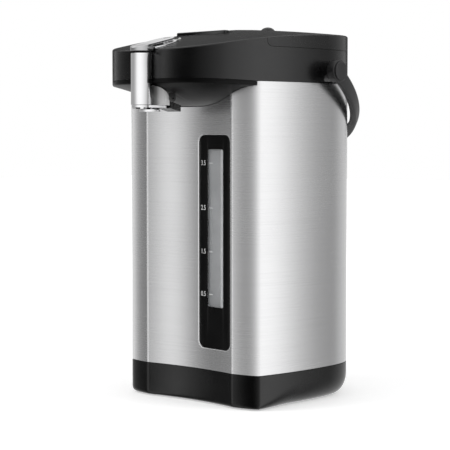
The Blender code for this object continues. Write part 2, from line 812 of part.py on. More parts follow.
def tube(name, path, radius):
    """A round bar along a path of points."""
    curve = bpy.data.curves.new(name, "CURVE")
    curve.dimensions = "3D"
    curve.bevel_depth = radius
    curve.bevel_resolution = TUBE_RESOLUTION
    curve.use_fill_caps = True
    spline = curve.splines.new("POLY")
    spline.points.add(len(path) - 1)
    for point, place in zip(spline.points, path):
        point.co = (*place, 1)
    return mesh_from_curve(name, bpy.data.objects.new(name + "_path", curve))


def bent_path(corners, bend, steps=4):
    """A path through corners, each rounded with a smooth bend."""
    corners = [Vector(c) for c in corners]
    path = [corners[0]]
    for before, corner, after in zip(corners, corners[1:], corners[2:]):
        start = corner + (before - corner).normalized() * min(bend, (before - corner).length / 2)
        end = corner + (after - corner).normalized() * min(bend, (after - corner).length / 2)
        for i in range(steps + 1):
            t = i / steps
            path.append(start * (1 - t) ** 2 + corner * (2 * t * (1 - t)) + end * t * t)
    path.append(corners[-1])
    return path


def pipe(name, path, radius, bore):
    """A bored tube along a path."""
    longer = list(path)
    longer[0] = path[0] + (path[0] - path[1]).normalized() * OVERRUN
    longer[-1] = path[-1] + (path[-1] - path[-2]).normalized() * OVERRUN
    outer = tube(name, path, radius)
    return cut(outer, cutter(tube(name + "_bore", longer, bore)))


def rounded_rectangle(half_width, low, high, radius, middle=0, steps=6):
    """Corners in order, counterclockwise, of an upright rounded rectangle."""
    points = []
    corners = ((half_width - radius, low + radius, -90), (half_width - radius, high - radius, 0),
               (radius - half_width, high - radius, 90), (radius - half_width, low + radius, 180))
    for x, y, start in corners:
        for i in range(steps + 1):
            angle = math.radians(start + 90 * i / steps)
            points.append((middle + x + radius * math.cos(angle), y + radius * math.sin(angle)))
    return points


def slot_outline(half_width, front, rear, rear_radius, steps=10):
    """A plan with a half-round front and rounded rear corners."""
    points = []
    for i in range(steps + 1):
        angle = math.radians(180 + 180 * i / steps)
        points.append((half_width * math.cos(angle), front + half_width + half_width * math.sin(angle)))
    for x, start in ((half_width - rear_radius, 0), (rear_radius - half_width, 90)):
        for i in range(steps // 2 + 1):
            angle = math.radians(start + 180 * i / steps)
            points.append((x + rear_radius * math.cos(angle),
                           rear - rear_radius + rear_radius * math.sin(angle)))
    return without_repeats(points)


def without_repeats(points):
    """Drop points that coincide with the one before."""
    kept = []
    for point in points:
        if not kept or math.dist(point, kept[-1]) > WELD:
            kept.append(point)
    if math.dist(kept[0], kept[-1]) <= WELD:
        kept.pop()
    return kept


# Base

def round_radius(y):
    """Size of the rounding at the foot of the base, small in front and large behind."""
    return ROUND_FRONT + (ROUND_REAR - ROUND_FRONT) * smoothstep(y / ROUND_BLEND_Y)


def base_rings(wall):
    """Rings of the rounded foot of the base, bottom first, for a wall offset."""
    rings = []
    for k in range(ROUND_STEPS + 1):
        angle = math.pi / 2 * k / ROUND_STEPS
        ring = inset(body_outline(), lambda y: wall + round_radius(y) * (1 - math.sin(angle)))
        rise = ROUND_RISE_SHARE * (1 - math.cos(angle))
        heights = [COVER_Z + rise * round_radius(y) for x, y in body_outline()]
        rings.append([(x, y, z) for (x, y), z in zip(ring, heights)])
    return rings


def base_shell():
    inside_top = at_height(inset(body_outline(), BASE_WALL), BASE_TOP - DECK_THICKNESS)
    rings = [inside_top] + base_rings(BASE_WALL)[::-1] + base_rings(0)
    lip_out = STEEL_WALL + GAP
    lip_in = lip_out + LIP_THICKNESS
    lip_top = BASE_TOP + LIP_HEIGHT
    for distance, z in ((0, BASE_TOP), (lip_out, BASE_TOP), (lip_out, lip_top), (lip_in, lip_top),
                        (lip_in, BASE_TOP)):
        rings.append(at_height(inset(body_outline(), distance), z))
    shell = link(loft("base_shell", rings), BLACK_PLASTIC, ORIGIN)
    for i, (x, y) in enumerate(screw_places()):
        low = COVER_Z + COVER_THICKNESS + GAP
        boss = cutter(rod(f"screw_boss_{i + 1}", SCREW_BOSS_RADIUS, (x, y, low),
                          (x, y, BASE_TOP - DECK_THICKNESS / 2), SMALL_ROUND_SIDES))
        bore = cutter(rod(f"screw_boss_bore_{i + 1}", SCREW_RADIUS + GAP, (x, y, COVER_Z),
                          (x, y, COVER_Z + SCREW_LENGTH + OVERRUN / 2), SMALL_ROUND_SIDES))
        cut(join(shell, boss), bore)
    return cut(shell, cutter(inlet_box("inlet_notch", GAP, OVERRUN)))


def screw_places():
    return [(side * SCREW_X, y) for y in (SCREW_FRONT_Y, SCREW_REAR_Y) for side in (-1, 1)]


def bottom_cover():
    plan = inset(body_outline(), lambda y: round_radius(y) + BASE_WALL + GAP)
    top = COVER_Z + COVER_THICKNESS
    cover = link(loft("bottom_cover", [at_height(plan, COVER_Z), at_height(plan, top)]),
                 BLACK_PLASTIC, ORIGIN)
    for i, (x, y) in enumerate(foot_places()):
        seat = rod(f"foot_seat_{i + 1}", FOOT_RADIUS + GAP, (x, y, COVER_Z - OVERRUN),
                   (x, y, COVER_Z + FOOT_SEAT))
        cut(cover, cutter(seat))
    for i, (x, y) in enumerate(mains_post_places()):
        join(cover, cutter(rod(f"board_post_{i + 1}", MAINS_POST_RADIUS, (x, y, top - COVER_THICKNESS / 2),
                               (x, y, top + MAINS_POST_HEIGHT), SMALL_ROUND_SIDES)))
    for i, (x, y) in enumerate(screw_places()):
        hole = rod(f"cover_hole_{i + 1}", SCREW_RADIUS + GAP, (x, y, COVER_Z - OVERRUN),
                   (x, y, top + OVERRUN), SMALL_ROUND_SIDES)
        pocket = rod(f"cover_pocket_{i + 1}", SCREW_HEAD_RADIUS + GAP, (x, y, COVER_Z - OVERRUN),
                     (x, y, COVER_Z + SCREW_HEAD_HEIGHT + GAP), SMALL_ROUND_SIDES)
        cut(cover, cutter(hole), cutter(pocket))
    return cover


def base_screws():
    for i, (x, y) in enumerate(screw_places()):
        head_top = COVER_Z + SCREW_HEAD_HEIGHT
        profile = [(0, COVER_Z + SCREW_LENGTH), (SCREW_RADIUS, COVER_Z + SCREW_LENGTH),
                   (SCREW_RADIUS, head_top), (SCREW_HEAD_RADIUS, head_top), (SCREW_HEAD_RADIUS, COVER_Z),
                   (0, COVER_Z)]
        link(turned(f"base_screw_{i + 1}", profile, (x, y), sides=SMALL_ROUND_SIDES), BRIGHT_STEEL, ORIGIN)


def foot_places():
    return [(-FOOT_FRONT_X, FOOT_FRONT_Y), (FOOT_FRONT_X, FOOT_FRONT_Y),
            (-FOOT_REAR_X, FOOT_REAR_Y), (FOOT_REAR_X, FOOT_REAR_Y)]


def feet():
    for i, (x, y) in enumerate(foot_places()):
        foot = rod(f"foot_{i + 1}", FOOT_RADIUS - FOOT_TAPER, (x, y, 0), (x, y, COVER_Z + FOOT_SEAT - GAP),
                   end_radius=FOOT_RADIUS)
        link(foot, RUBBER, ORIGIN)


# Body

def steel_ring(distance):
    """Top edge of the steel: level under the head's sides, lowered under its front."""
    outline = inset(body_outline(), distance)
    edge = steel_edge_heights()
    heights = {i: z - GAP for i, z in enumerate(edge)}
    heights.update({-i: z - GAP for i, z in enumerate(edge)})
    heights[STEP_INDEX + 1] = edge[-1] - GAP
    heights[-STEP_INDEX - 1] = edge[-1] - GAP
    ring = []
    for i, (x, y) in enumerate(outline):
        key = i if i <= STEP_INDEX + 1 else i - len(outline)
        ring.append((x, y, heights.get(key, SEAM_SIDE_Z - GAP)))
    return ring


def steel_shell():
    low = BASE_TOP + GAP
    rings = [at_height(body_outline(), low), steel_ring(0), steel_ring(STEEL_WALL),
             at_height(inset(body_outline(), STEEL_WALL), low)]
    shell = link(loft("steel_shell", rings, looped=True), STEEL, ORIGIN)
    opening = rounded_rectangle(GAUGE_WIDTH / 2, GAUGE_BOTTOM_Z, GAUGE_TOP_Z, GAUGE_CORNER, GAUGE_X)
    return cut(shell, cutter(slab("gauge_opening", opening, -OVERRUN, TUBE_Y, "XZ")))


def front_plate(name, half_width, low, high, corner, sunk, thickness):
    """A plate that follows the hollow of the front, from its outline and its depth."""
    outline = rounded_rectangle(half_width, low, high, corner, GAUGE_X)
    plate = slab(name, outline, -OVERRUN, TUBE_Y, "XZ")
    near = inset(body_outline(), sunk)
    far = inset(body_outline(), sunk + thickness)
    rings = [at_height(near, low - OVERRUN), at_height(near, high + OVERRUN),
             at_height(far, high + OVERRUN), at_height(far, low - OVERRUN)]
    skin = cutter(loft(name + "_skin", rings, looped=True))
    return combine(plate, skin, "INTERSECT")


def gauge():
    bezel = front_plate("gauge_bezel", GAUGE_WIDTH / 2 - GAP, GAUGE_BOTTOM_Z + GAP, GAUGE_TOP_Z - GAP,
                        GAUGE_CORNER - GAP, GAUGE_SUNK, GAUGE_THICKNESS)
    link(bezel, GLOSS_BLACK, ORIGIN)
    hole = rounded_rectangle(WINDOW_WIDTH / 2, WINDOW_BOTTOM_Z, WINDOW_TOP_Z, WINDOW_CORNER, GAUGE_X)
    cut(bezel, cutter(slab("window_opening", hole, -OVERRUN, TUBE_Y, "XZ")))
    window = front_plate("gauge_window", WINDOW_WIDTH / 2 - GAP, WINDOW_BOTTOM_Z + GAP, WINDOW_TOP_Z - GAP,
                         WINDOW_CORNER - GAP, WINDOW_SUNK, WINDOW_THICKNESS)
    link(window, CLEAR, ORIGIN)
    low = PUMP_BASE_Z + PUMP_HEIGHT + NIPPLE_HEIGHT + GAP
    tube_profile = ring_profile(TUBE_BORE, TUBE_RADIUS, low, TUBE_TOP_Z)
    link(turned("sight_tube", tube_profile, (TUBE_X, TUBE_Y), True), CLEAR, ORIGIN)


# Head

def head_form(name, wall=0, low=None):
    """The head as one crowned solid, or the space inside it for a wall thickness."""
    outline = inset(head_outline(), wall)
    bottom = seam_z if low is None else low
    rings = [at_height(outline, bottom)]
    rings.append(at_height(outline, lambda y: crease_z(y) - wall - EDGE_ROUND))
    mid_edge = EDGE_ROUND * EDGE_MIDDLE_SHARE
    rings.append(at_height(inset(outline, mid_edge), lambda y: crease_z(y) - wall - mid_edge))
    top_rings = inset(outline, EDGE_ROUND)
    for share in CROWN_SHARES:
        ring = []
        for x, y in top_rings:
            edge = crease_z(y)
            z = CROWN_TOP_Z - (CROWN_TOP_Z - edge) * share ** CROWN_POWER - wall
            ring.append((x * share, CROWN_Y + (y - CROWN_Y) * share, z))
        rings.append(ring)
    return loft(name, rings, pole=(0, CROWN_Y, CROWN_TOP_Z - wall))


def lid_profile(gap):
    """Side view of the space that the lid takes up, with its rounded lower front corner."""
    front = LID_FRONT_Y + gap
    low = LID_SEAM_Z + gap
    high = vent_seat_z() + VENT_DOME + OVERRUN
    rear = HINGE_Y
    points = [(rear, low), (rear, high), (front, high)]
    for i in range(LID_CORNER_STEPS + 1):
        angle = math.radians(180 + 90 * i / LID_CORNER_STEPS)
        points.append((front + LID_CORNER_RADIUS + LID_CORNER_RADIUS * math.cos(angle),
                       low + LID_CORNER_RADIUS + LID_CORNER_RADIUS * math.sin(angle)))
    return points


def level_space(name, wall, y_front, low, high):
    """An upright-sided space inside the head, behind a straight front."""
    return cutter(slab(name, clipped(inset(head_outline(), wall), y_front), low, high))


def top_housing():
    head = link(head_form("top_housing"), BLACK_PLASTIC, ORIGIN)
    below = HEAD_FRONT_Y - OVERRUN
    cut(head, level_space("deck_space", HEAD_WALL, below, SEAM_SIDE_Z - OVERRUN, DECK_Z))
    nose = head_form("nose_space", HEAD_WALL + GAP, SEAM_SIDE_Z - OVERRUN)
    nose_limit = box("nose_limit", (-DEPTH, below, 0), (DEPTH, LID_FRONT_Y - HEAD_WALL, CROWN_TOP_Z + DEPTH))
    cut(head, combine(cutter(nose), cutter(nose_limit), "INTERSECT"))
    lid_room = slab("lid_room", lid_profile(0), -DEPTH, DEPTH, "YZ")
    cut(head, cutter(lid_room))
    deck_top = DECK_Z + DECK_WALL
    cut(head, level_space("deck_recess", HEAD_WALL, LID_FRONT_Y + HEAD_WALL, deck_top,
                          LID_SEAM_Z + OVERRUN))
    mouth = rod("mouth", MOUTH_RADIUS, (0, VESSEL_Y, DECK_Z - OVERRUN), (0, VESSEL_Y, deck_top + OVERRUN),
                LARGE_ROUND_SIDES)
    cut(head, cutter(mouth))
    handle_bosses(head)
    hinge_ears(head)
    lever_seat(head)
    board_posts(head)
    hole = rod("lens_hole", LENS_RADIUS + GAP, (0, LENS_Y, centre_z(LENS_Y) - HEAD_WALL - OVERRUN),
               (0, LENS_Y, centre_z(LENS_Y) + OVERRUN), SMALL_ROUND_SIDES)
    cut(head, cutter(hole))
    return head


def handle_bosses(head):
    for side, word in ((-1, "left"), (1, "right")):
        boss = rod(f"boss_{word}", BOSS_RADIUS, (side * BOSS_ROOT_X, HANDLE_Y, HANDLE_Z),
                   (side * BOSS_REACH_X, HANDLE_Y, HANDLE_Z))
        bore = rod(f"boss_bore_{word}", HANDLE_BORE + GAP,
                   (side * (BOSS_ROOT_X - OVERRUN), HANDLE_Y, HANDLE_Z),
                   (side * (BOSS_REACH_X + OVERRUN), HANDLE_Y, HANDLE_Z), SMALL_ROUND_SIDES)
        cut(join(head, cutter(boss)), cutter(bore))


def hinge_ears(head):
    inner = HINGE_HALF + GAP
    outer = inner + HINGE_EAR
    for side, word in ((-1, "left"), (1, "right")):
        ear = rod(f"hinge_ear_{word}", HINGE_EAR_RADIUS, (side * inner, HINGE_Y, HINGE_Z),
                  (side * outer, HINGE_Y, HINGE_Z), SMALL_ROUND_SIDES)
        x_ends = sorted((side * (inner + HINGE_WEB_SIDE), side * (outer - HINGE_WEB_SIDE)))
        low = HINGE_Z - HINGE_EAR_RADIUS + HINGE_WEB_SIDE
        bracket = box(f"hinge_bracket_{word}", (x_ends[0], back_y(outer) - HEAD_WALL / 2, low),
                      (x_ends[1], HINGE_Y, LID_SEAM_Z - GAP))
        join(head, cutter(ear), cutter(bracket))
    bore = rod("hinge_ear_bore", HINGE_PIN + GAP, (-outer - OVERRUN, HINGE_Y, HINGE_Z),
               (outer + OVERRUN, HINGE_Y, HINGE_Z), SMALL_ROUND_SIDES)
    cut(head, cutter(bore))


def panel_tilt():
    rise = centre_z(ESCUTCHEON_REAR_Y) - centre_z(ESCUTCHEON_FRONT_Y)
    return math.atan2(rise, ESCUTCHEON_REAR_Y - ESCUTCHEON_FRONT_Y)


def panel_middle():
    y = (ESCUTCHEON_FRONT_Y + ESCUTCHEON_REAR_Y) / 2
    return Vector((0, y, centre_z(y)))


def escutcheon_slab(name, border, low, high):
    """An oval plate on the sloping panel, or the same oval grown by a border."""
    half_length = (ESCUTCHEON_REAR_Y - ESCUTCHEON_FRONT_Y) / 2 / math.cos(panel_tilt()) + border
    half_width = ESCUTCHEON_HALF + border
    item = slab(name, slot_outline(half_width, -half_length, half_length, half_width - WELD), low, high)
    item.rotation_euler = (panel_tilt(), 0, 0)
    item.location = panel_middle() + Matrix.Rotation(panel_tilt(), 3, "X") @ Vector(item.location)
    return item


def lever_seat(head):
    """The recess of the lever's border, the slot of its lug, and two ears for its pin."""
    cut(head, cutter(escutcheon_slab("escutcheon_recess", GAP, -ESCUTCHEON_SUNK, OVERRUN)))
    reach = CAP_BARREL + GAP + GAP
    ear_in = CAP_LUG_HALF + GAP
    ear_out = ear_in + CAP_EAR
    roof = centre_z(CAP_PIVOT_Y) - ESCUTCHEON_SUNK - HEAD_WALL / 2
    for side, word in ((-1, "left"), (1, "right")):
        x_ends = sorted((side * ear_in, side * ear_out))
        ear = box(f"lever_ear_{word}", (x_ends[0], CAP_PIVOT_Y - CAP_BARREL, CAP_PIVOT_Z - CAP_BARREL),
                  (x_ends[1], CAP_PIVOT_Y + CAP_BARREL, roof))
        join(head, cutter(ear))
    slot = box("lever_slot", (-ear_in, CAP_PIVOT_Y - reach, CAP_PIVOT_Z - CAP_BARREL),
               (ear_in, CAP_PIVOT_Y + reach, CAP_BACK_Z + OVERRUN))
    bore = rod("lever_ear_bore", CAP_PIN + GAP, (-ear_out - OVERRUN, CAP_PIVOT_Y, CAP_PIVOT_Z),
               (ear_out + OVERRUN, CAP_PIVOT_Y, CAP_PIVOT_Z), SMALL_ROUND_SIDES)
    cut(head, cutter(slot), cutter(bore))


def board_posts(head):
    low = BOARD_Z + BOARD_THICKNESS + GAP
    for i, (x, y) in enumerate(board_post_places()):
        post = rod(f"panel_post_{i + 1}", BOARD_POST_RADIUS, (x, y, low),
                   (x, y, centre_z(y) - HEAD_WALL * BOARD_POST_ROOT_SHARE), SMALL_ROUND_SIDES)
        join(head, cutter(post))


def board_post_places():
    rows = (BOARD_FRONT_Y + BOARD_POST_INSET, BOARD_REAR_Y - BOARD_POST_INSET)
    return [(side * BOARD_POST_X, y) for y in rows for side in (-1, 1)]


def chin_cover():
    """The shell under the head's front: an upright rim, and a slope down to the steel."""
    head = head_outline()
    head_in = inset(head, CHIN_WALL)
    tuck = inset(body_outline(), CHIN_TUCK)
    tuck_in = inset(body_outline(), CHIN_TUCK + CHIN_WALL)
    edge = steel_edge_heights()
    sections = []
    for i in range(-STEP_INDEX, STEP_INDEX + 1):
        z = edge[abs(i)]
        top = seam_z(head[i][1]) - GAP
        rim = seam_z(head[i][1]) - CHIN_RIM
        sections.append([(*head[i], top), (*head[i], rim), (*tuck[i], z), (*tuck_in[i], z + CHIN_WALL),
                         (*head_in[i], rim + CHIN_WALL), (*head_in[i], top)])
    chin = link(loft("chin_cover", sections), BLACK_PLASTIC, ORIGIN)
    inner = CUP_HALF_WIDTH + GAP
    outer = inner + CUP_EAR
    under = chin_under_z(CUP_PIVOT_Y) + CHIN_WALL / 2
    for side, word in ((-1, "left"), (1, "right")):
        x_ends = sorted((side * inner, side * outer))
        ear = rod(f"cup_ear_{word}", CUP_EAR_RADIUS, (x_ends[0], CUP_PIVOT_Y, CUP_PIVOT_Z),
                  (x_ends[1], CUP_PIVOT_Y, CUP_PIVOT_Z), SMALL_ROUND_SIDES)
        web = box(f"cup_ear_web_{word}", (x_ends[0], CUP_PIVOT_Y - CUP_EAR_RADIUS, CUP_PIVOT_Z),
                  (x_ends[1], CUP_PIVOT_Y + CUP_EAR_RADIUS, under))
        join(chin, cutter(ear), cutter(web))
    bore = rod("cup_ear_bore", CUP_PIN + GAP, (-outer - OVERRUN, CUP_PIVOT_Y, CUP_PIVOT_Z),
               (outer + OVERRUN, CUP_PIVOT_Y, CUP_PIVOT_Z), SMALL_ROUND_SIDES)
    passage = rod("pipe_passage", PIPE_RADIUS + GAP + GAP, (0, PIPE_Y, PIPE_END_Z),
                  (0, PIPE_Y, PIPE_RUN_Z), SMALL_ROUND_SIDES)
    return cut(chin, cutter(bore), cutter(passage))


def chin_under_z(y):
    """Underside of the chin along its middle."""
    rim = SEAM_FRONT_Z - CHIN_RIM
    rear = FRONT_HOLLOW + CHIN_TUCK
    return rim + (STEEL_CENTRE_Z - rim) * (y - HEAD_FRONT_Y) / (rear - HEAD_FRONT_Y)


# Spout

def spout_cover():
    plan = slot_outline(SPOUT_RADIUS, SPOUT_Y - SPOUT_RADIUS, SPOUT_REAR_Y, SPOUT_REAR_CORNER)
    cover = link(slab("spout_cover", plan, SPOUT_BOTTOM_Z, SPOUT_TOP_Z), CHROME, ORIGIN)
    face = HEAD_FRONT_Y - GAP
    profile = [(0, SPOUT_TOP_Z + OVERRUN), (face, SPOUT_TOP_Z + OVERRUN)]
    steps = SPOUT_CURVE_STEPS
    start = math.acos((face - SPOUT_CURVE_Y) / SPOUT_CURVE_LENGTH)
    for i in range(steps + 1):
        angle = start * (1 - i / steps)
        profile.append((SPOUT_CURVE_Y + SPOUT_CURVE_LENGTH * math.cos(angle),
                        SPOUT_CURVE_Z + SPOUT_CURVE_HEIGHT * math.sin(angle)))
    profile.append((0, SPOUT_CURVE_Z))
    behind = cutter(slab("spout_behind", profile[::-1], -HALF_WIDTH, HALF_WIDTH, "YZ"))
    collar_top = SPOUT_BOTTOM_Z - GAP - RING_HEIGHT - GAP + NOZZLE_COLLAR_HEIGHT + GAP
    collar = rod("spout_collar_room", NOZZLE_COLLAR_RADIUS + GAP, (0, PIPE_Y, SPOUT_BOTTOM_Z - OVERRUN),
                 (0, PIPE_Y, collar_top), SMALL_ROUND_SIDES)
    bore = rod("spout_pipe_room", PIPE_RADIUS + GAP + GAP, (0, PIPE_Y, SPOUT_BOTTOM_Z),
               (0, PIPE_Y, SPOUT_TOP_Z), SMALL_ROUND_SIDES)
    return cut(cover, behind, cutter(collar), cutter(bore))


def spout_base_ring():
    top = SPOUT_BOTTOM_Z - GAP
    plan = slot_outline(SPOUT_RADIUS - RING_INSET, SPOUT_Y - SPOUT_RADIUS + RING_INSET,
                        SPOUT_REAR_Y - RING_INSET, SPOUT_REAR_CORNER - RING_INSET)
    low = inset(plan, RING_CHAMFER)
    rings = [at_height(low, top - RING_HEIGHT), at_height(plan, top - RING_HEIGHT + RING_CHAMFER),
             at_height(plan, top)]
    ring = link(loft("spout_base_ring", rings), CHROME, ORIGIN)
    hole = rod("ring_hole", NOZZLE_COLLAR_RADIUS + GAP, (0, PIPE_Y, top - RING_HEIGHT - OVERRUN),
               (0, PIPE_Y, top + OVERRUN), SMALL_ROUND_SIDES)
    return cut(ring, cutter(hole))


def nozzle():
    top = SPOUT_BOTTOM_Z - GAP - RING_HEIGHT - GAP
    flange = link(rod("nozzle", NOZZLE_RADIUS, (0, NOZZLE_Y, top - NOZZLE_HEIGHT), (0, NOZZLE_Y, top)),
                  CHROME, ORIGIN)
    collar = rod("nozzle_collar", NOZZLE_COLLAR_RADIUS, (0, PIPE_Y, top - NOZZLE_HEIGHT / 2),
                 (0, PIPE_Y, top + NOZZLE_COLLAR_HEIGHT - GAP), SMALL_ROUND_SIDES)
    bore = rod("nozzle_bore", PIPE_RADIUS + GAP, (0, PIPE_Y, top - NOZZLE_HEIGHT - OVERRUN),
               (0, PIPE_Y, top + NOZZLE_COLLAR_HEIGHT + OVERRUN), SMALL_ROUND_SIDES)
    return cut(join(flange, cutter(collar)), cutter(bore))


def spout_pipe():
    corners = [(TUBE_X, TUBE_Y, TUBE_TOP_Z + GAP), (TUBE_X, TUBE_Y, PIPE_RUN_Z), (0, PIPE_Y, PIPE_RUN_Z),
               (0, PIPE_Y, PIPE_END_Z)]
    return link(pipe("spout_pipe", bent_path(corners, PIPE_BEND), PIPE_RADIUS, PIPE_BORE), RUBBER, ORIGIN)


# Dispensing lever

def dispense_lever():
    plan = slot_outline(CAP_HALF_WIDTH, CAP_FRONT_Y, CAP_REAR_Y, CAP_HALF_WIDTH - WELD)
    lever = link(slab("dispense_lever", plan, CAP_BOTTOM_Z, CAP_BACK_Z + OVERRUN), CHROME, LEVER_AXIS)
    side = [(CAP_FRONT_Y - OVERRUN, CAP_BOTTOM_Z), (CAP_SKIRT_REAR_Y, CAP_BOTTOM_Z),
            (CAP_SKIRT_REAR_Y, CAP_STEP_Z), (CAP_REAR_Y + OVERRUN, CAP_BACK_Z - CAP_REAR_THICKNESS),
            (CAP_REAR_Y + OVERRUN, CAP_BACK_Z), (CAP_REAR_Y, CAP_BACK_Z), (CAP_BROW_Y, CAP_BROW_Z),
            (CAP_FRONT_Y, CAP_NOSE_Z), (CAP_FRONT_Y - OVERRUN, CAP_NOSE_Z)]
    combine(lever, cutter(slab("lever_side", side, -HALF_WIDTH, HALF_WIDTH, "YZ"), LEVER_AXIS), "INTERSECT")
    barrel = rod("lever_barrel", CAP_BARREL, (-CAP_LUG_HALF, CAP_PIVOT_Y, CAP_PIVOT_Z),
                 (CAP_LUG_HALF, CAP_PIVOT_Y, CAP_PIVOT_Z), SMALL_ROUND_SIDES)
    lug = box("lever_lug", (-CAP_LUG_HALF, CAP_PIVOT_Y - CAP_BARREL, CAP_PIVOT_Z),
              (CAP_LUG_HALF, CAP_PIVOT_Y + CAP_BARREL, CAP_BACK_Z - CAP_REAR_THICKNESS))
    bore = rod("lever_bore", CAP_PIN + GAP, (-CAP_HALF_WIDTH, CAP_PIVOT_Y, CAP_PIVOT_Z),
               (CAP_HALF_WIDTH, CAP_PIVOT_Y, CAP_PIVOT_Z), SMALL_ROUND_SIDES)
    join(lever, cutter(lug, LEVER_AXIS), cutter(barrel, LEVER_AXIS))
    return cut(lever, cutter(bore, LEVER_AXIS))


def lever_trim():
    frame = escutcheon_slab("lever_escutcheon", 0, GAP - ESCUTCHEON_SUNK,
                            ESCUTCHEON_THICKNESS + GAP - ESCUTCHEON_SUNK)
    link(frame, CHROME, ORIGIN)
    cut(frame, cutter(escutcheon_slab("escutcheon_opening", -ESCUTCHEON_BORDER, -OVERRUN, OVERRUN)))
    outer = CAP_LUG_HALF + GAP + CAP_EAR
    link(rod("lever_pin", CAP_PIN, (-outer, CAP_PIVOT_Y, CAP_PIVOT_Z), (outer, CAP_PIVOT_Y, CAP_PIVOT_Z),
             SMALL_ROUND_SIDES), BRIGHT_STEEL, ORIGIN)
    top = centre_z(LENS_Y) + LENS_PROUD
    link(rod("indicator_lens", LENS_RADIUS, (0, LENS_Y, top - HEAD_WALL - LENS_RADIUS), (0, LENS_Y, top),
             SMALL_ROUND_SIDES), WHITE, ORIGIN)
    board = box("control_board", (-BOARD_HALF_WIDTH, BOARD_FRONT_Y, BOARD_Z),
                (BOARD_HALF_WIDTH, BOARD_REAR_Y, BOARD_Z + BOARD_THICKNESS))
    link(board, CIRCUIT_BOARD, ORIGIN)


def cup_lever():
    """The paddle behind the spout that a cup pushes."""
    side = [(CUP_PIVOT_Y - CUP_BARREL / 2, CUP_PIVOT_Z), (CUP_BLADE_FRONT_Y, CUP_BLADE_LOW_FRONT_Z),
            (CUP_BLADE_REAR_Y, CUP_BLADE_LOW_REAR_Z), (CUP_BLADE_REAR_Y, CUP_BLADE_TOP_REAR_Z),
            (CUP_PIVOT_Y + CUP_BARREL, CUP_BLADE_TOP_FRONT_Z), (CUP_PIVOT_Y + CUP_BARREL / 2, CUP_PIVOT_Z)]
    lever = link(slab("cup_lever", side, -CUP_HALF_WIDTH, CUP_HALF_WIDTH, "YZ"), BLACK_PLASTIC, CUP_AXIS)
    barrel = rod("cup_barrel", CUP_BARREL, (-CUP_HALF_WIDTH, CUP_PIVOT_Y, CUP_PIVOT_Z),
                 (CUP_HALF_WIDTH, CUP_PIVOT_Y, CUP_PIVOT_Z), SMALL_ROUND_SIDES)
    bore = rod("cup_bore", CUP_PIN + GAP, (-CUP_HALF_WIDTH - OVERRUN, CUP_PIVOT_Y, CUP_PIVOT_Z),
               (CUP_HALF_WIDTH + OVERRUN, CUP_PIVOT_Y, CUP_PIVOT_Z), SMALL_ROUND_SIDES)
    join(lever, cutter(barrel, CUP_AXIS))
    cut(lever, cutter(bore, CUP_AXIS))
    outer = CUP_HALF_WIDTH + GAP + CUP_EAR
    pin = rod("cup_lever_pin", CUP_PIN, (-outer, CUP_PIVOT_Y, CUP_PIVOT_Z), (outer, CUP_PIVOT_Y, CUP_PIVOT_Z),
              SMALL_ROUND_SIDES)
    link(pin, BRIGHT_STEEL, ORIGIN)


# Vessel, heater and pump

def inner_vessel():
    flange_top = DECK_Z - GAP - VESSEL_SEAL - GAP
    inner_neck = NECK_RADIUS - VESSEL_WALL
    inner = VESSEL_RADIUS - VESSEL_WALL
    floor = VESSEL_BOTTOM_Z + VESSEL_WALL
    heel_corner = VESSEL_HEEL * HEEL_CORNER_SHARE
    profile = [(0, floor), (inner - VESSEL_HEEL, floor), (inner - heel_corner, floor + heel_corner),
               (inner, floor + VESSEL_HEEL), (inner, VESSEL_SHOULDER_Z), (inner_neck, NECK_Z - VESSEL_WALL),
               (inner_neck, flange_top), (FLANGE_RADIUS, flange_top),
               (FLANGE_RADIUS, flange_top - FLANGE_THICKNESS), (NECK_RADIUS, flange_top - FLANGE_THICKNESS),
               (NECK_RADIUS, NECK_Z), (VESSEL_RADIUS, VESSEL_SHOULDER_Z + VESSEL_WALL / 2),
               (VESSEL_RADIUS, floor + VESSEL_HEEL), (VESSEL_RADIUS - heel_corner, floor + heel_corner / 2),
               (VESSEL_RADIUS - VESSEL_HEEL, VESSEL_BOTTOM_Z), (0, VESSEL_BOTTOM_Z)]
    vessel = link(turned("inner_vessel", profile, (0, VESSEL_Y), sides=LARGE_ROUND_SIDES),
                  BRIGHT_STEEL, ORIGIN)
    hole = rod("vessel_outlet", PIPE_BORE, (OUTLET_X, OUTLET_Y, VESSEL_BOTTOM_Z - OVERRUN),
               (OUTLET_X, OUTLET_Y, floor + OVERRUN), SMALL_ROUND_SIDES)
    cut(vessel, cutter(hole))
    seal = ring_profile(NECK_RADIUS, FLANGE_RADIUS, DECK_Z - GAP - VESSEL_SEAL, DECK_Z - GAP)
    link(turned("vessel_seal", seal, (0, VESSEL_Y), True, LARGE_ROUND_SIDES), RUBBER, ORIGIN)
    sleeve = ring_profile(VESSEL_RADIUS + GAP, VESSEL_RADIUS + GAP + SLEEVE_THICKNESS, SLEEVE_BOTTOM_Z,
                          VESSEL_SHOULDER_Z)
    link(turned("insulation_sleeve", sleeve, (0, VESSEL_Y), True, LARGE_ROUND_SIDES), FOAM, ORIGIN)


def heater():
    top = VESSEL_BOTTOM_Z - GAP
    plate = ring_profile(HEATER_BORE, HEATER_RADIUS, top - HEATER_THICKNESS, top)
    link(turned("heater_plate", plate, (0, VESSEL_Y), True), BRIGHT_STEEL, ORIGIN)
    link(rod("thermostat", THERMOSTAT_RADIUS, (0, VESSEL_Y, top - THERMOSTAT_HEIGHT), (0, VESSEL_Y, top)),
         BRIGHT_STEEL, ORIGIN)


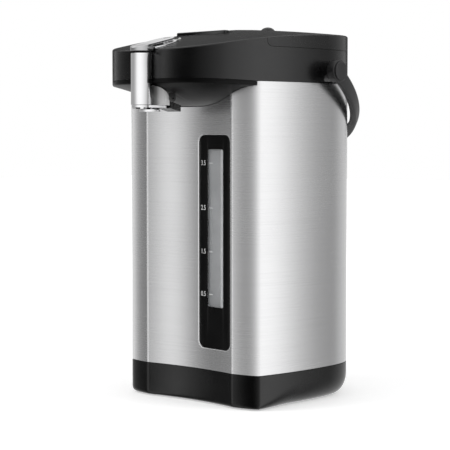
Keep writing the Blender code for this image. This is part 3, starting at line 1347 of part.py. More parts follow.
def pump():
    low = BASE_TOP + GAP
    top = low + MOTOR_HEIGHT
    place = (PUMP_X, PUMP_Y)
    motor = [(0, top + SHAFT_HEIGHT), (SHAFT_RADIUS, top + SHAFT_HEIGHT), (SHAFT_RADIUS, top),
             (MOTOR_RADIUS, top), (MOTOR_RADIUS, low), (0, low)]
    link(turned("pump_motor", motor, place), BRIGHT_STEEL, ORIGIN)
    floor = PUMP_BASE_Z + PUMP_WALL
    roof = PUMP_BASE_Z + PUMP_HEIGHT - PUMP_WALL
    room = PUMP_RADIUS - PUMP_WALL
    shaft_hole = SHAFT_RADIUS + GAP + GAP
    casing = [(0, PUMP_BASE_Z + PUMP_HEIGHT), (PUMP_RADIUS, PUMP_BASE_Z + PUMP_HEIGHT),
              (PUMP_RADIUS, PUMP_BASE_Z), (shaft_hole, PUMP_BASE_Z), (shaft_hole, floor), (room, floor),
              (room, roof), (0, roof)]
    housing = link(turned("pump_housing", casing, place), WHITE, ORIGIN)
    nipple_top = PUMP_BASE_Z + PUMP_HEIGHT + NIPPLE_HEIGHT
    nipple = rod("pump_nipple", TUBE_RADIUS, (TUBE_X, TUBE_Y, roof + PUMP_WALL / 2),
                 (TUBE_X, TUBE_Y, nipple_top), SMALL_ROUND_SIDES)
    riser = rod("pump_riser", TUBE_BORE, (TUBE_X, TUBE_Y, roof - PUMP_WALL / 2),
                (TUBE_X, TUBE_Y, nipple_top + OVERRUN), SMALL_ROUND_SIDES)
    port_z = (floor + roof) / 2
    centre = Vector((PUMP_X, PUMP_Y, port_z))
    outward = (Vector((OUTLET_X, OUTLET_Y, port_z)) - centre).normalized()
    port = rod("pump_port", PIPE_BORE, centre + outward * (room - OVERRUN / 2),
               centre + outward * (PUMP_RADIUS + OVERRUN), SMALL_ROUND_SIDES)
    cut(join(housing, cutter(nipple)), cutter(riser), cutter(port))
    seat = centre + outward * (PUMP_RADIUS + GAP + GAP)
    corners = [(OUTLET_X, OUTLET_Y, VESSEL_BOTTOM_Z - GAP), (OUTLET_X, OUTLET_Y, port_z), seat]
    path = bent_path(corners, PIPE_BEND / 2)
    link(pipe("suction_pipe", path, PIPE_RADIUS, PIPE_BORE), RUBBER, ORIGIN)
    impeller(floor + GAP + GAP)


def impeller(low):
    place = (PUMP_X, PUMP_Y)
    high = low + IMPELLER_HEIGHT
    bore_top = BASE_TOP + GAP + MOTOR_HEIGHT + SHAFT_HEIGHT + GAP
    profile = [(0, high), (IMPELLER_HUB, high), (IMPELLER_HUB, low + IMPELLER_DISC),
               (IMPELLER_RADIUS, low + IMPELLER_DISC), (IMPELLER_RADIUS, low), (SHAFT_RADIUS + GAP, low),
               (SHAFT_RADIUS + GAP, bore_top), (0, bore_top)]
    wheel = link(turned("pump_impeller", profile, place), WHITE, IMPELLER_AXIS)
    for i in range(VANE_COUNT):
        angle = 2 * math.pi * i / VANE_COUNT
        vane = box(f"impeller_vane_{i + 1}", (IMPELLER_HUB / 2 + SHAFT_RADIUS / 2, -VANE_THICKNESS / 2, 0),
                   (IMPELLER_RADIUS - VANE_THICKNESS, VANE_THICKNESS / 2, IMPELLER_HEIGHT - IMPELLER_DISC))
        turn = Matrix.Rotation(angle, 3, "Z")
        vane.location = Vector((*place, low + IMPELLER_DISC / 2)) + turn @ vane.location
        vane.rotation_euler = (0, 0, angle)
        join(wheel, cutter(vane, IMPELLER_AXIS))


# Power parts

def inlet_box(name, grow, rear_extra):
    low = (INLET_X - INLET_HALF_WIDTH - grow, INLET_FRONT_Y - grow, BASE_TOP - INLET_HEIGHT - grow)
    high = (INLET_X + INLET_HALF_WIDTH + grow, INLET_REAR_Y + rear_extra, BASE_TOP + rear_extra)
    return box(name, low, high)


def power_parts():
    inlet = link(inlet_box("power_inlet", 0, 0), BLACK_PLASTIC, ORIGIN)
    floor_y = INLET_REAR_Y - INLET_SOCKET_DEPTH
    low = BASE_TOP - INLET_HEIGHT
    socket = box("inlet_socket", (INLET_X - INLET_HALF_WIDTH + INLET_WALL, floor_y, low + INLET_WALL),
                 (INLET_X + INLET_HALF_WIDTH - INLET_WALL, INLET_REAR_Y + OVERRUN, BASE_TOP - INLET_WALL))
    cut(inlet, cutter(socket))
    z = (low + BASE_TOP) / 2
    start = floor_y - INLET_WALL
    for i, side in enumerate((-1, 1)):
        x = INLET_X + side * INLET_PIN_SPREAD
        bore = rod(f"inlet_pin_bore_{i + 1}", INLET_PIN_RADIUS + GAP, (x, start - GAP, z),
                   (x, floor_y + OVERRUN, z), SMALL_ROUND_SIDES)
        cut(inlet, cutter(bore))
        pin = rod(f"inlet_pin_{i + 1}", INLET_PIN_RADIUS, (x, start, z), (x, start + INLET_PIN_LENGTH, z),
                  SMALL_ROUND_SIDES)
        link(pin, BRASS, ORIGIN)
    low = COVER_Z + COVER_THICKNESS + MAINS_POST_HEIGHT + GAP
    board = box("power_board", (MAINS_X - MAINS_HALF_WIDTH, MAINS_Y - MAINS_HALF_DEPTH, low),
                (MAINS_X + MAINS_HALF_WIDTH, MAINS_Y + MAINS_HALF_DEPTH, low + BOARD_THICKNESS))
    link(board, CIRCUIT_BOARD, ORIGIN)


def mains_post_places():
    across = MAINS_HALF_WIDTH - MAINS_POST_INSET
    deep = MAINS_HALF_DEPTH - MAINS_POST_INSET
    return [(MAINS_X + i * across, MAINS_Y + j * deep) for j in (-1, 1) for i in (-1, 1)]


# Lid

def lid_cover():
    cover = link(head_form("lid_cover"), BLACK_PLASTIC, LID_AXIS)
    combine(cover, cutter(slab("lid_limit", lid_profile(GAP), -DEPTH, DEPTH, "YZ"), LID_AXIS), "INTERSECT")
    room = head_form("lid_space", LID_WALL, SEAM_SIDE_Z)
    front = LID_FRONT_Y + GAP + LID_WALL
    keep = box("lid_space_limit", (-DEPTH, front, 0), (DEPTH, DEPTH + DEPTH, CROWN_TOP_Z + DEPTH))
    cut(cover, combine(cutter(room, LID_AXIS), cutter(keep, LID_AXIS), "INTERSECT"))
    slot = box("latch_slot", (-LATCH_HALF - GAP, LID_FRONT_Y - OVERRUN, LATCH_BOTTOM_Z - GAP),
               (LATCH_HALF + GAP, LATCH_REAR_Y + LATCH_TRAVEL + GAP, LATCH_TOP_Z + OVERRUN))
    vent = rod("vent_hole", VENT_STEM + GAP, (0, VENT_Y, LID_SEAM_Z), (0, VENT_Y, vent_seat_z() + OVERRUN),
               SMALL_ROUND_SIDES)
    cut(cover, cutter(slot, LID_AXIS), cutter(vent, LID_AXIS))
    low = HINGE_Z + HINGE_BARREL - HINGE_WEB
    web_half = HINGE_HALF - HINGE_WEB_SIDE
    web = box("hinge_web", (-web_half, back_y(HINGE_HALF) - LID_WALL / 2, low),
              (web_half, HINGE_Y, low + HINGE_WEB))
    barrel = rod("hinge_barrel", HINGE_BARREL, (-HINGE_HALF, HINGE_Y, HINGE_Z),
                 (HINGE_HALF, HINGE_Y, HINGE_Z), SMALL_ROUND_SIDES)
    bore = rod("hinge_bore", HINGE_PIN + GAP, (-HINGE_HALF - OVERRUN, HINGE_Y, HINGE_Z),
               (HINGE_HALF + OVERRUN, HINGE_Y, HINGE_Z), SMALL_ROUND_SIDES)
    join(cover, cutter(web, LID_AXIS), cutter(barrel, LID_AXIS))
    cut(cover, cutter(bore, LID_AXIS))
    outer = HINGE_HALF + GAP + HINGE_EAR
    link(rod("lid_hinge_pin", HINGE_PIN, (-outer, HINGE_Y, HINGE_Z), (outer, HINGE_Y, HINGE_Z),
             SMALL_ROUND_SIDES), BRIGHT_STEEL, ORIGIN)


def lid_inside():
    low = LID_SEAM_Z + GAP + GAP
    top = low + LID_PLATE_THICKNESS
    plan = clipped(inset(head_outline(), LID_WALL + GAP), LID_FRONT_Y + LID_WALL + LID_CORNER_RADIUS)
    plate = link(slab("lid_inner", plan, low, top), BLACK_PLASTIC, LID_AXIS)
    plug = rod("plug", PLUG_RADIUS, (0, VESSEL_Y, PLUG_BOTTOM_Z), (0, VESSEL_Y, low + GAP), LARGE_ROUND_SIDES)
    hollow = rod("plug_hollow", PLUG_RADIUS - PLUG_WALL, (0, VESSEL_Y, PLUG_BOTTOM_Z + PLUG_WALL),
                 (0, VESSEL_Y, top + OVERRUN), LARGE_ROUND_SIDES)
    hole = rod("steam_hole", VENT_BORE, (0, VENT_Y, PLUG_BOTTOM_Z - OVERRUN), (0, VENT_Y, LID_SEAM_Z),
               SMALL_ROUND_SIDES)
    join(plate, cutter(plug, LID_AXIS))
    cut(plate, cutter(hollow, LID_AXIS), cutter(hole, LID_AXIS))
    seal = ring_profile(SEAL_INNER, SEAL_OUTER, DECK_Z + DECK_WALL + GAP, low - GAP)
    link(turned("lid_gasket", seal, (0, VESSEL_Y), True, LARGE_ROUND_SIDES), RUBBER, LID_AXIS)
    stem_low = PLUG_BOTTOM_Z + PLUG_WALL + GAP
    seat = vent_seat_z()
    angles = [math.radians(90 * i / DOME_STEPS) for i in range(DOME_STEPS + 1)]
    profile = [(VENT_RADIUS * math.sin(a), seat + VENT_DOME * math.cos(a)) for a in angles]
    profile += [(VENT_RADIUS, seat - VENT_RIM), (VENT_STEM, seat - VENT_RIM),
                (VENT_STEM, stem_low), (VENT_BORE, stem_low), (VENT_BORE, seat), (0, seat)]
    link(turned("steam_vent_cap", profile, (0, VENT_Y), sides=VENT_SIDES), GLOSS_BLACK, LID_AXIS)


def lid_latch():
    latch = box("lid_latch", (-LATCH_HALF, LATCH_FRONT_Y, LATCH_BOTTOM_Z),
                (LATCH_HALF, LATCH_REAR_Y, LATCH_TOP_Z))
    link(latch, GLOSS_BLACK, LATCH_AXIS)
    flange = box("latch_flange", (-LATCH_HALF - LATCH_FLANGE_SIDE, LATCH_FLANGE_FRONT_Y,
                                  LATCH_FLANGE_TOP_Z - LATCH_FLANGE_THICKNESS),
                 (LATCH_HALF + LATCH_FLANGE_SIDE, LATCH_FLANGE_REAR_Y, LATCH_FLANGE_TOP_Z))
    join(latch, cutter(flange, LATCH_AXIS))


# Handle, drawn level behind its axis and tilted by the empty that carries it

def bail_sections():
    sections = []
    for i in range(BAIL_STEPS + 1):
        angle = math.pi * i / BAIL_STEPS
        middle = Vector((BAIL_HALF_WIDTH * math.cos(angle), BAIL_REACH * math.sin(angle), 0))
        along = Vector((-BAIL_HALF_WIDTH * math.sin(angle), BAIL_REACH * math.cos(angle), 0)).normalized()
        out = Vector((along.y, -along.x, 0))
        blend = smoothstep(math.sin(angle))
        thick = (BAIL_THICKNESS_ARM + (BAIL_THICKNESS_GRIP - BAIL_THICKNESS_ARM) * blend) / 2
        deep = (BAIL_DEPTH_ARM + (BAIL_DEPTH_GRIP - BAIL_DEPTH_ARM) * blend) / 2
        chamfer = thick * BAIL_CHAMFER_SHARE
        corners = [(thick, chamfer - deep), (thick, deep - chamfer), (thick - chamfer, deep),
                   (chamfer - thick, deep), (-thick, deep - chamfer), (-thick, chamfer - deep),
                   (chamfer - thick, -deep), (thick - chamfer, -deep)]
        sections.append([tuple(middle + out * a + Vector((0, 0, b))) for a, b in corners])
    return sections


def handle():
    bail = link(loft("handle_bail", bail_sections()), BLACK_PLASTIC, HANDLE_AXIS)
    for side, word in ((-1, "left"), (1, "right")):
        disc = rod(f"arm_disc_{word}", ARM_RADIUS, (side * ARM_INNER_X, 0, 0), (side * ARM_OUTER_X, 0, 0))
        bore = rod(f"arm_bore_{word}", HANDLE_BORE + GAP, (side * (ARM_INNER_X - OVERRUN), 0, 0),
                   (side * (ARM_INNER_X + ARM_BORE_DEPTH), 0, 0), SMALL_ROUND_SIDES)
        cut(join(bail, cutter(disc, HANDLE_AXIS)), cutter(bore, HANDLE_AXIS))
        start = ARM_OUTER_X + GAP
        cap = rod(f"handle_cap_{word}", ARM_CAP_RADIUS, (side * start, 0, 0),
                  (side * (start + ARM_CAP_THICKNESS), 0, 0))
        link(cap, GLOSS_BLACK, HANDLE_AXIS)
        pin = rod(f"handle_pin_{word}", HANDLE_BORE, (side * BOSS_ROOT_X, HANDLE_Y, HANDLE_Z),
                  (side * (ARM_INNER_X + ARM_BORE_DEPTH - GAP), HANDLE_Y, HANDLE_Z), SMALL_ROUND_SIDES)
        link(pin, BRIGHT_STEEL, ORIGIN)


def centre_on_origin():
    """Move the whole pot so that its bounding box stands centred over the origin."""
    bpy.context.view_layer.update()
    graph = bpy.context.evaluated_depsgraph_get()
    lows = []
    highs = []
    for item in PARTS.objects:
        if item.type == "EMPTY":
            continue
        evaluated = item.evaluated_get(graph)
        depths = [(evaluated.matrix_world @ vertex.co).y for vertex in evaluated.data.vertices]
        lows.append(min(depths))
        highs.append(max(depths))
    ORIGIN.location.y = -(min(lows) + max(highs)) / 2


clear_scene()
PARTS = new_collection("thermo_pot")
CUTTERS = new_collection("cutters")

BLACK_PLASTIC = new_material("black_plastic", (0.012, 0.012, 0.013), 0.38)
GLOSS_BLACK = new_material("gloss_black", (0.004, 0.004, 0.005), 0.08)
STEEL = new_material("brushed_steel", (0.62, 0.62, 0.62), 0.30, 1.0)
BRIGHT_STEEL = new_material("bright_steel", (0.70, 0.70, 0.70), 0.22, 1.0)
CHROME = new_material("chrome", (0.85, 0.85, 0.86), 0.05, 1.0)
CLEAR = new_material("clear_plastic", (0.75, 0.77, 0.78), 0.06, 0.0, 0.35)
RUBBER = new_material("rubber", (0.02, 0.02, 0.02), 0.75)
WHITE = new_material("white_plastic", (0.80, 0.80, 0.78), 0.40)
FOAM = new_material("foam", (0.72, 0.72, 0.70), 0.90)
BRASS = new_material("brass", (0.72, 0.52, 0.22), 0.30, 1.0)
CIRCUIT_BOARD = new_material("circuit_board", (0.05, 0.20, 0.08), 0.50)

ORIGIN = new_empty("pot_origin", (0, 0, 0))
HANDLE_AXIS = new_empty("handle_axis", (0, HANDLE_Y, HANDLE_Z), ORIGIN)
HANDLE_AXIS.rotation_euler = (-math.radians(HANDLE_DROOP_DEG), 0, 0)
LID_AXIS = new_empty("lid_axis", (0, HINGE_Y, HINGE_Z), ORIGIN)
LATCH_AXIS = new_empty("latch_slide", (0, LATCH_FRONT_Y, LATCH_FLANGE_TOP_Z), ORIGIN)
LEVER_AXIS = new_empty("dispense_lever_axis", (0, CAP_PIVOT_Y, CAP_PIVOT_Z), ORIGIN)
CUP_AXIS = new_empty("cup_lever_axis", (0, CUP_PIVOT_Y, CUP_PIVOT_Z), ORIGIN)
IMPELLER_AXIS = new_empty("impeller_axis", (PUMP_X, PUMP_Y, PUMP_BASE_Z), ORIGIN)

base_shell()
bottom_cover()
base_screws()
feet()
steel_shell()
gauge()
top_housing()
chin_cover()
spout_cover()
spout_base_ring()
nozzle()
spout_pipe()
dispense_lever()
lever_trim()
cup_lever()
inner_vessel()
heater()
pump()
power_parts()
lid_cover()
lid_inside()
lid_latch()
handle()
centre_on_origin()
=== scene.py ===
"""Looks of the thermo pot: smooth visible surfaces, materials, camera, floor and lights."""
import json
import math

import bmesh
import bpy
from mathutils import Matrix, Vector

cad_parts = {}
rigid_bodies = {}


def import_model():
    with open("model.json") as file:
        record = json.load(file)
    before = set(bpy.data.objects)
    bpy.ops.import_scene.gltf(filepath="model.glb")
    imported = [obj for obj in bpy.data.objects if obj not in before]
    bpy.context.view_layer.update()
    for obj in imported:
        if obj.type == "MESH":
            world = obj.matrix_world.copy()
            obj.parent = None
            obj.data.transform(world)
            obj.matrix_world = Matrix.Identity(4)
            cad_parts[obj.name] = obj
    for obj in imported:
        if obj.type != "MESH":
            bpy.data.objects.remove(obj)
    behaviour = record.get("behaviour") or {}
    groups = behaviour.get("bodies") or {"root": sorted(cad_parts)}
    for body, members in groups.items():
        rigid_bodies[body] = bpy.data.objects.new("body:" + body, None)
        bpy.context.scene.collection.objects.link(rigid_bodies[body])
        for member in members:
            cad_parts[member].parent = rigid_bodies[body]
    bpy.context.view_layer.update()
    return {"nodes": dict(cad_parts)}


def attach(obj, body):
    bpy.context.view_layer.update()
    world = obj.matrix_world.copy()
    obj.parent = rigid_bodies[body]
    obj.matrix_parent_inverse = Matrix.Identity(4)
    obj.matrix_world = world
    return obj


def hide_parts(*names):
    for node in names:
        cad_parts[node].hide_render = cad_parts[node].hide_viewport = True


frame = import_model()

# The pot is drawn with Y = 0 at the front corners of the steel, as in the solids
SHIFT_Y = -0.061584

GAP = 0.0003
CUT_REACH = 0.004
FAR_REACH = 0.01
CUT_HALF = 0.02
LAP = 0.0001
TINY = 0.00001
SHARP_DEG = 32.0
SOFT_DEG = 40
SOFTEST_DEG = 50

HALF_WIDTH = 0.0886
DEPTH = 0.165
WIDEST_Y = 0.091
SIDE_RADIUS = 0.350
FRONT_HALF = 0.076
FRONT_HOLLOW = 0.0095
FRONT_CORNER_X = 0.0524
FRONT_CORNER_DEPTH = 0.013
FRONT_CORNER_SLOPE = 0.09
BACK_HALF = 0.0395
BACK_BULGE = 0.005
BACK_CORNER_Y = 0.100
STEP_Y = 0.008
HEAD_FRONT_Y = -0.047
HEAD_SIDE_PULL = 0.042
HEAD_FRONT_PULL = 0.052
FRONT_CORNER_SHARE = 0.64
BACK_CORNER_SHARE = 0.75
FRONT_STEPS = 28
CORNER_STEPS = 24
SIDE_STEPS = 18
BACK_CORNER_STEPS = 28
BACK_STEPS = 10
STEP_INDEX = FRONT_STEPS + CORNER_STEPS
SIDE_EXTRA = 4
CHIN_END = 42

BASE_TOP = 0.0310
SEAM_SIDE_Z = 0.2893
SEAM_FRONT_Z = 0.2914
STEEL_CENTRE_Z = 0.2680
STEEL_EDGE_POWER = 1.9
STEEL_STEP_Z = 0.2852
CREASE_TOP_Z = 0.334
CREASE_DROP = 0.017
CREASE_TOP_Y = 0.130
CROWN_TOP_Z = 0.340
CROWN_Y = 0.075
CROWN_POWER = 1.6
LID_SEAM_Z = 0.3195
LID_FRONT_Y = 0.0195
LID_CORNER_RADIUS = 0.005

BASE_WALL = 0.0025
STEEL_WALL = 0.0008
HEAD_WALL = 0.0024
LID_WALL = 0.0024
CHIN_WALL = 0.0022
EDGE_ROUND = 0.0016
EDGE_STEPS = 4
TOP_SHARES = (0.96, 0.9, 0.82, 0.72, 0.62, 0.5, 0.38, 0.25, 0.12)
STEEL_ROWS = 26
BASE_EDGE = 0.0006
BASE_EDGE_SHARE = 0.3
BASE_LIP_SPACE = 0.0008
BASE_LIP_WALL = 0.0015
BASE_LIP_HEIGHT = 0.004

COVER_Z = 0.0010
ROUND_FRONT = 0.0022
ROUND_REAR = 0.0130
ROUND_BLEND_Y = 0.060
ROUND_RISE_SHARE = 1.5

GAUGE_X = 0.0295
GAUGE_WIDTH = 0.041
GAUGE_BOTTOM_Z = 0.0508
GAUGE_TOP_Z = 0.2423
GAUGE_CORNER = 0.007
GAUGE_SUNK = 0.0010
LIP_ROUND = 0.0011
LIP_DEPTH = 0.0034
WINDOW_WIDTH = 0.0208
WINDOW_BOTTOM_Z = 0.0880
WINDOW_TOP_Z = 0.2298
WINDOW_CORNER = 0.002
FRAME_STEPS = 14
BEZEL_THICKNESS = 0.0030
BEZEL_EDGE = 0.0005
GLASS_SUNK = 0.0016
GLASS_THICKNESS = 0.0012
GAUGE_BACK_DEPTH = 0.0046
GAUGE_BACK_THICKNESS = 0.0010
GAUGE_BACK_MARGIN = 0.001
GAUGE_BACK_EDGE = 0.0003
TICK_HALF_LENGTH = 0.0024
TICK_HALF_HEIGHT = 0.0004
TICK_ROUND = 0.00035
TICK_X = 0.0042
TICK_THICKNESS = 0.0001
TICK_DEPTH = 0.00148
NUMERAL_SIZE = 0.0062
NUMERAL_THICKNESS = 0.00004
NUMERAL_LIFT = 0.00006
NUMERAL_X = 0.0049
NUMERAL_WIDTH_SHARE = 0.82
SCALE_MARKS = ((0.2173, "3.5"), (0.1772, "2.5"), (0.1378, "1.5"), (0.0994, "0.5"))
RIB_X = 0.0367
RIB_RADIUS = 0.0032
RIB_STEPS = 16
RIB_DEPTH_SHARE = 0.55
RIB_FOOT = 0.0002
RIB_END = 0.0008
TUBE_Y = 0.0175

SPOUT_REAR_Y = -0.0270
COLUMN_Y = -0.0540
COLUMN_RADIUS = 0.00905
HOUSING_HALF = 0.0080
HOUSING_LENGTH = 0.0200
HOUSING_HEIGHT = 0.0120
HOUSING_FOOT = 0.0045
HOUSING_STEPS = 24
HOUSING_LAP = 0.003
HOUSING_EDGE = 0.0006
HOUSING_JOINTS = (0.0066, 0.0018)
JOINT_HALF = 0.0002
JOINT_DEPTH = 0.0003
COLUMN_EDGE = 0.0004
COLUMN_SIDES = 128
SPOUT_REAR_CORNER = 0.006
SPOUT_BOTTOM_Z = 0.2685
SPOUT_TOP_Z = 0.3132
RING_HEIGHT = 0.0032
RING_INSET = 0.0006
RING_CHAMFER = 0.0012
RING_BORE = 0.0053
PIPE_Y = -0.040
NOZZLE_Y = -0.0435
NOZZLE_RADIUS = 0.009
NOZZLE_HEIGHT = 0.0022
NOZZLE_EDGE = 0.0003
NOZZLE_BORE = 0.0035
COLLAR_RADIUS = 0.005
COLLAR_LAP = 0.001
COLLAR_RISE = 0.0097
CHIN_RIM = 0.0041
CHIN_TUCK = 0.0020
CHIN_ROUND = 0.0012
CHIN_ROUND_SHARE = 0.3
CHIN_DROP_SHARE = 0.25
PASSAGE_RADIUS = 0.0038
PASSAGE_LOW_Z = 0.266
PASSAGE_HIGH_Z = 0.302
CUP_PIVOT_Y = -0.025
CUP_PIVOT_Z = 0.2745
CUP_EAR_RADIUS = 0.0030
CUP_EAR_INNER_X = 0.0083
CUP_EAR_OUTER_X = 0.0107
CUP_WEB_TOP_Z = 0.2795

CAP_HALF_WIDTH = 0.0095
CAP_FRONT_Y = -0.0636
CAP_REAR_Y = -0.0165
CAP_BOTTOM_Z = 0.3150
CAP_NOSE_Z = 0.3178
CAP_BROW_Y = -0.0610
CAP_BROW_Z = 0.3193
CAP_BACK_Z = 0.3296
CAP_REAR_THICKNESS = 0.0013
CAP_SKIRT_REAR_Y = -0.0482
CAP_STEP_Z = 0.3202
CAP_EDGE = 0.0006
CAP_SKIRT_REACH = 0.001
LEVER_PIVOT_Y = -0.0205
LEVER_PIVOT_Z = 0.3192
LUG_HALF_WIDTH = 0.0035
LUG_HALF_DEPTH = 0.0022
LEVER_BORE = 0.0013
LEVER_SLOT_HALF = 0.0038
LEVER_SLOT_HALF_DEPTH = 0.0028
LEVER_SLOT_LOW_Z = 0.317
PANEL_CUT_TOP_Z = 0.34
ESCUTCHEON_FRONT_Y = -0.0455
ESCUTCHEON_REAR_Y = -0.0140
ESCUTCHEON_HALF = 0.0112
ESCUTCHEON_BORDER = 0.0030
ESCUTCHEON_THICKNESS = 0.0016
ESCUTCHEON_SUNK = 0.0010
ESCUTCHEON_EDGE = 0.0004

LAMP_Y = -0.0055
LAMP_RADIUS = 0.0012
LAMP_RISE = 0.0010
LAMP_FOOT = 0.0004
LAMP_STEPS = 6
LENS_Y = -0.008
LENS_HOLE_RADIUS = 0.0008
LENS_HOLE_LOW_Z = 0.32

VESSEL_Y = 0.0885
DECK_Z = 0.3120
DECK_WALL = 0.0025
MOUTH_RADIUS = 0.055
NOSE_LIMIT_Y = -0.06
ROOM_TOP_Z = 0.5

INLET_X = 0.043
INLET_HALF_WIDTH = 0.013
INLET_FRONT_Y = 0.141
INLET_REAR_Y = 0.167
INLET_HEIGHT = 0.0105
INLET_NOTCH_RISE = 0.006

LATCH_HALF = 0.030
LATCH_FRONT_Y = 0.0214
LATCH_REAR_Y = 0.0280
LATCH_TOP_Z = 0.3362
LATCH_BOTTOM_Z = 0.3290
LATCH_TRAVEL = 0.004
LATCH_EDGE = 0.0012
LATCH_FLANGE_SIDE = 0.003
LATCH_FLANGE_FRONT = 0.0026
LATCH_FLANGE_REAR = 0.002
LATCH_FLANGE_DROP = 0.0005
LATCH_FLANGE_TOP = 0.001
LATCH_SLOT_TOP_Z = 0.345

HINGE_Y = 0.171
HINGE_EAR_RADIUS = 0.0045
HINGE_EAR_INNER_X = 0.0218
HINGE_EAR_OUTER_X = 0.0278
HINGE_BRACKET_INSET = 0.001
HINGE_BRACKET_DROP = 0.0035
HINGE_BARREL_RADIUS = 0.004
HINGE_BARREL_HALF = 0.0215
HINGE_BORE = 0.0018
HINGE_BORE_HALF = 0.03
HINGE_WEB_HALF = 0.0205
HINGE_WEB_LOW_Z = 0.3205
HINGE_WEB_HIGH_Z = 0.3235
VENT_Y = 0.116
VENT_RADIUS = 0.007
VENT_DOME = 0.0048
VENT_RIM = 0.0013
VENT_HOLE_RADIUS = 0.0053
VENT_STEM_RADIUS = 0.005
VENT_STEM_BORE = 0.003
VENT_STEM_LOW_Z = 0.3115
VENT_STEPS = 16

HANDLE_Y = 0.0927
HANDLE_Z = 0.2996
HANDLE_DROOP_DEG = 35.0
BOSS_RADIUS = 0.0095
BOSS_REACH_X = 0.0967
BOSS_ROOT_X = 0.0867
ARM_RADIUS = 0.0100
ARM_INNER_X = 0.0970
ARM_OUTER_X = 0.1050
ARM_CAP_RADIUS = 0.0085
ARM_CAP_THICKNESS = 0.0012
BAIL_HALF_WIDTH = 0.1002
BAIL_REACH = 0.111
BAIL_THICKNESS_ARM = 0.0050
BAIL_THICKNESS_GRIP = 0.0080
BAIL_DEPTH_ARM = 0.0140
BAIL_DEPTH_GRIP = 0.0110
BAIL_STEPS = 96
BAIL_SIDES = 32
BAIL_ROUND_POWER = 0.5
ARM_EDGE = 0.0008
ARM_BORE = 0.0033
ARM_BORE_INNER_X = 0.09
ARM_BORE_OUTER_X = 0.103
ARM_CAP_EDGE = 0.0005

CAMERA_PLACE = (0.9128, -1.0229, 0.2389)
CAMERA_TILT_DEG = 90 - 3.345
CAMERA_TURN_DEG = 41.93
CAMERA_LENS = 117.75
SENSOR_WIDTH = 36


# Outlines

def smoothstep(value):
    t = min(max(value, 0), 1)
    return t * t * (3 - 2 * t)


def cubic(start, pull_start, pull_end, end, count):
    points = []
    for i in range(count):
        t = i / count
        weights = ((1 - t) ** 3, 3 * t * (1 - t) ** 2, 3 * t * t * (1 - t), t ** 3)
        corners = (start, pull_start, pull_end, end)
        points.append((sum(w * c[0] for w, c in zip(weights, corners)),
                       sum(w * c[1] for w, c in zip(weights, corners))))
    return points


def rounded_corner(start, start_slope, end, end_slope, share, count):
    cross = start_slope[0] * end_slope[1] - start_slope[1] * end_slope[0]
    across = (end[0] - start[0], end[1] - start[1])
    reach = (across[0] * end_slope[1] - across[1] * end_slope[0]) / cross
    corner = (start[0] + reach * start_slope[0], start[1] + reach * start_slope[1])
    pull_start = tuple(s + share * (c - s) for s, c in zip(start, corner))
    pull_end = tuple(e + share * (c - e) for e, c in zip(end, corner))
    return cubic(start, pull_start, pull_end, end, count)


def side_x(y):
    return HALF_WIDTH - (y - WIDEST_Y) ** 2 / (2 * SIDE_RADIUS)


def side_slope(y):
    return (-(y - WIDEST_Y) / SIDE_RADIUS, 1)


def front_y(x):
    return FRONT_HOLLOW * (1 - (x / FRONT_HALF) ** 2)


def back_y(x):
    return DEPTH - BACK_BULGE * (x / BACK_HALF) ** 2


def body_front_half():
    points = [(FRONT_CORNER_X * i / FRONT_STEPS, front_y(FRONT_CORNER_X * i / FRONT_STEPS))
              for i in range(FRONT_STEPS)]
    start = (FRONT_CORNER_X, front_y(FRONT_CORNER_X))
    end = (side_x(FRONT_CORNER_DEPTH), FRONT_CORNER_DEPTH)
    points += rounded_corner(start, (1, FRONT_CORNER_SLOPE), end, side_slope(FRONT_CORNER_DEPTH),
                             FRONT_CORNER_SHARE, CORNER_STEPS)
    points.append(end)
    return points


def head_front_half():
    end = (side_x(STEP_Y), STEP_Y)
    slope = side_slope(STEP_Y)
    pull_end = (end[0] - HEAD_SIDE_PULL * slope[0], end[1] - HEAD_SIDE_PULL * slope[1])
    points = cubic((0, HEAD_FRONT_Y), (HEAD_FRONT_PULL, HEAD_FRONT_Y), pull_end, end, STEP_INDEX - SIDE_EXTRA)
    for i in range(SIDE_EXTRA + 1):
        y = STEP_Y + (FRONT_CORNER_DEPTH - STEP_Y) * i / SIDE_EXTRA
        points.append((side_x(y), y))
    return points


def rear_half():
    points = []
    for i in range(1, SIDE_STEPS):
        y = FRONT_CORNER_DEPTH + (BACK_CORNER_Y - FRONT_CORNER_DEPTH) * i / SIDE_STEPS
        points.append((side_x(y), y))
    start = (side_x(BACK_CORNER_Y), BACK_CORNER_Y)
    end = (BACK_HALF, back_y(BACK_HALF))
    points += rounded_corner(start, side_slope(BACK_CORNER_Y), end, (1, -2 * BACK_BULGE / BACK_HALF),
                             BACK_CORNER_SHARE, BACK_CORNER_STEPS)
    for i in range(BACK_STEPS + 1):
        x = BACK_HALF * (1 - i / BACK_STEPS)
        points.append((x, back_y(x)))
    return points


def whole(half):
    return half + [(-x, y) for x, y in reversed(half[1:-1])]


BODY = whole(body_front_half() + rear_half())
HEAD = whole(head_front_half() + rear_half())


def inset(outline, distance):
    points = []
    for i, (x, y) in enumerate(outline):
        before = outline[i - 1]
        after = outline[(i + 1) % len(outline)]
        along = Vector((after[0] - before[0], after[1] - before[1])).normalized()
        amount = distance(y) if callable(distance) else distance
        points.append((x - along.y * amount, y + along.x * amount))
    return points


def clipped(outline, y_min):
    points = []
    for i, point in enumerate(outline):
        before = outline[i - 1]
        if (before[1] < y_min) != (point[1] < y_min):
            t = (y_min - before[1]) / (point[1] - before[1])
            points.append((before[0] + t * (point[0] - before[0]), y_min))
        if point[1] >= y_min:
            points.append(point)
    return points


def at_height(outline, height):
    if callable(height):
        return [(x, y, height(y)) for x, y in outline]
    return [(x, y, height) for x, y in outline]


def seam_z(y):
    forward = min(max((STEP_Y - y) / (STEP_Y - HEAD_FRONT_Y), 0), 1)
    return SEAM_SIDE_Z + (SEAM_FRONT_Z - SEAM_SIDE_Z) * forward


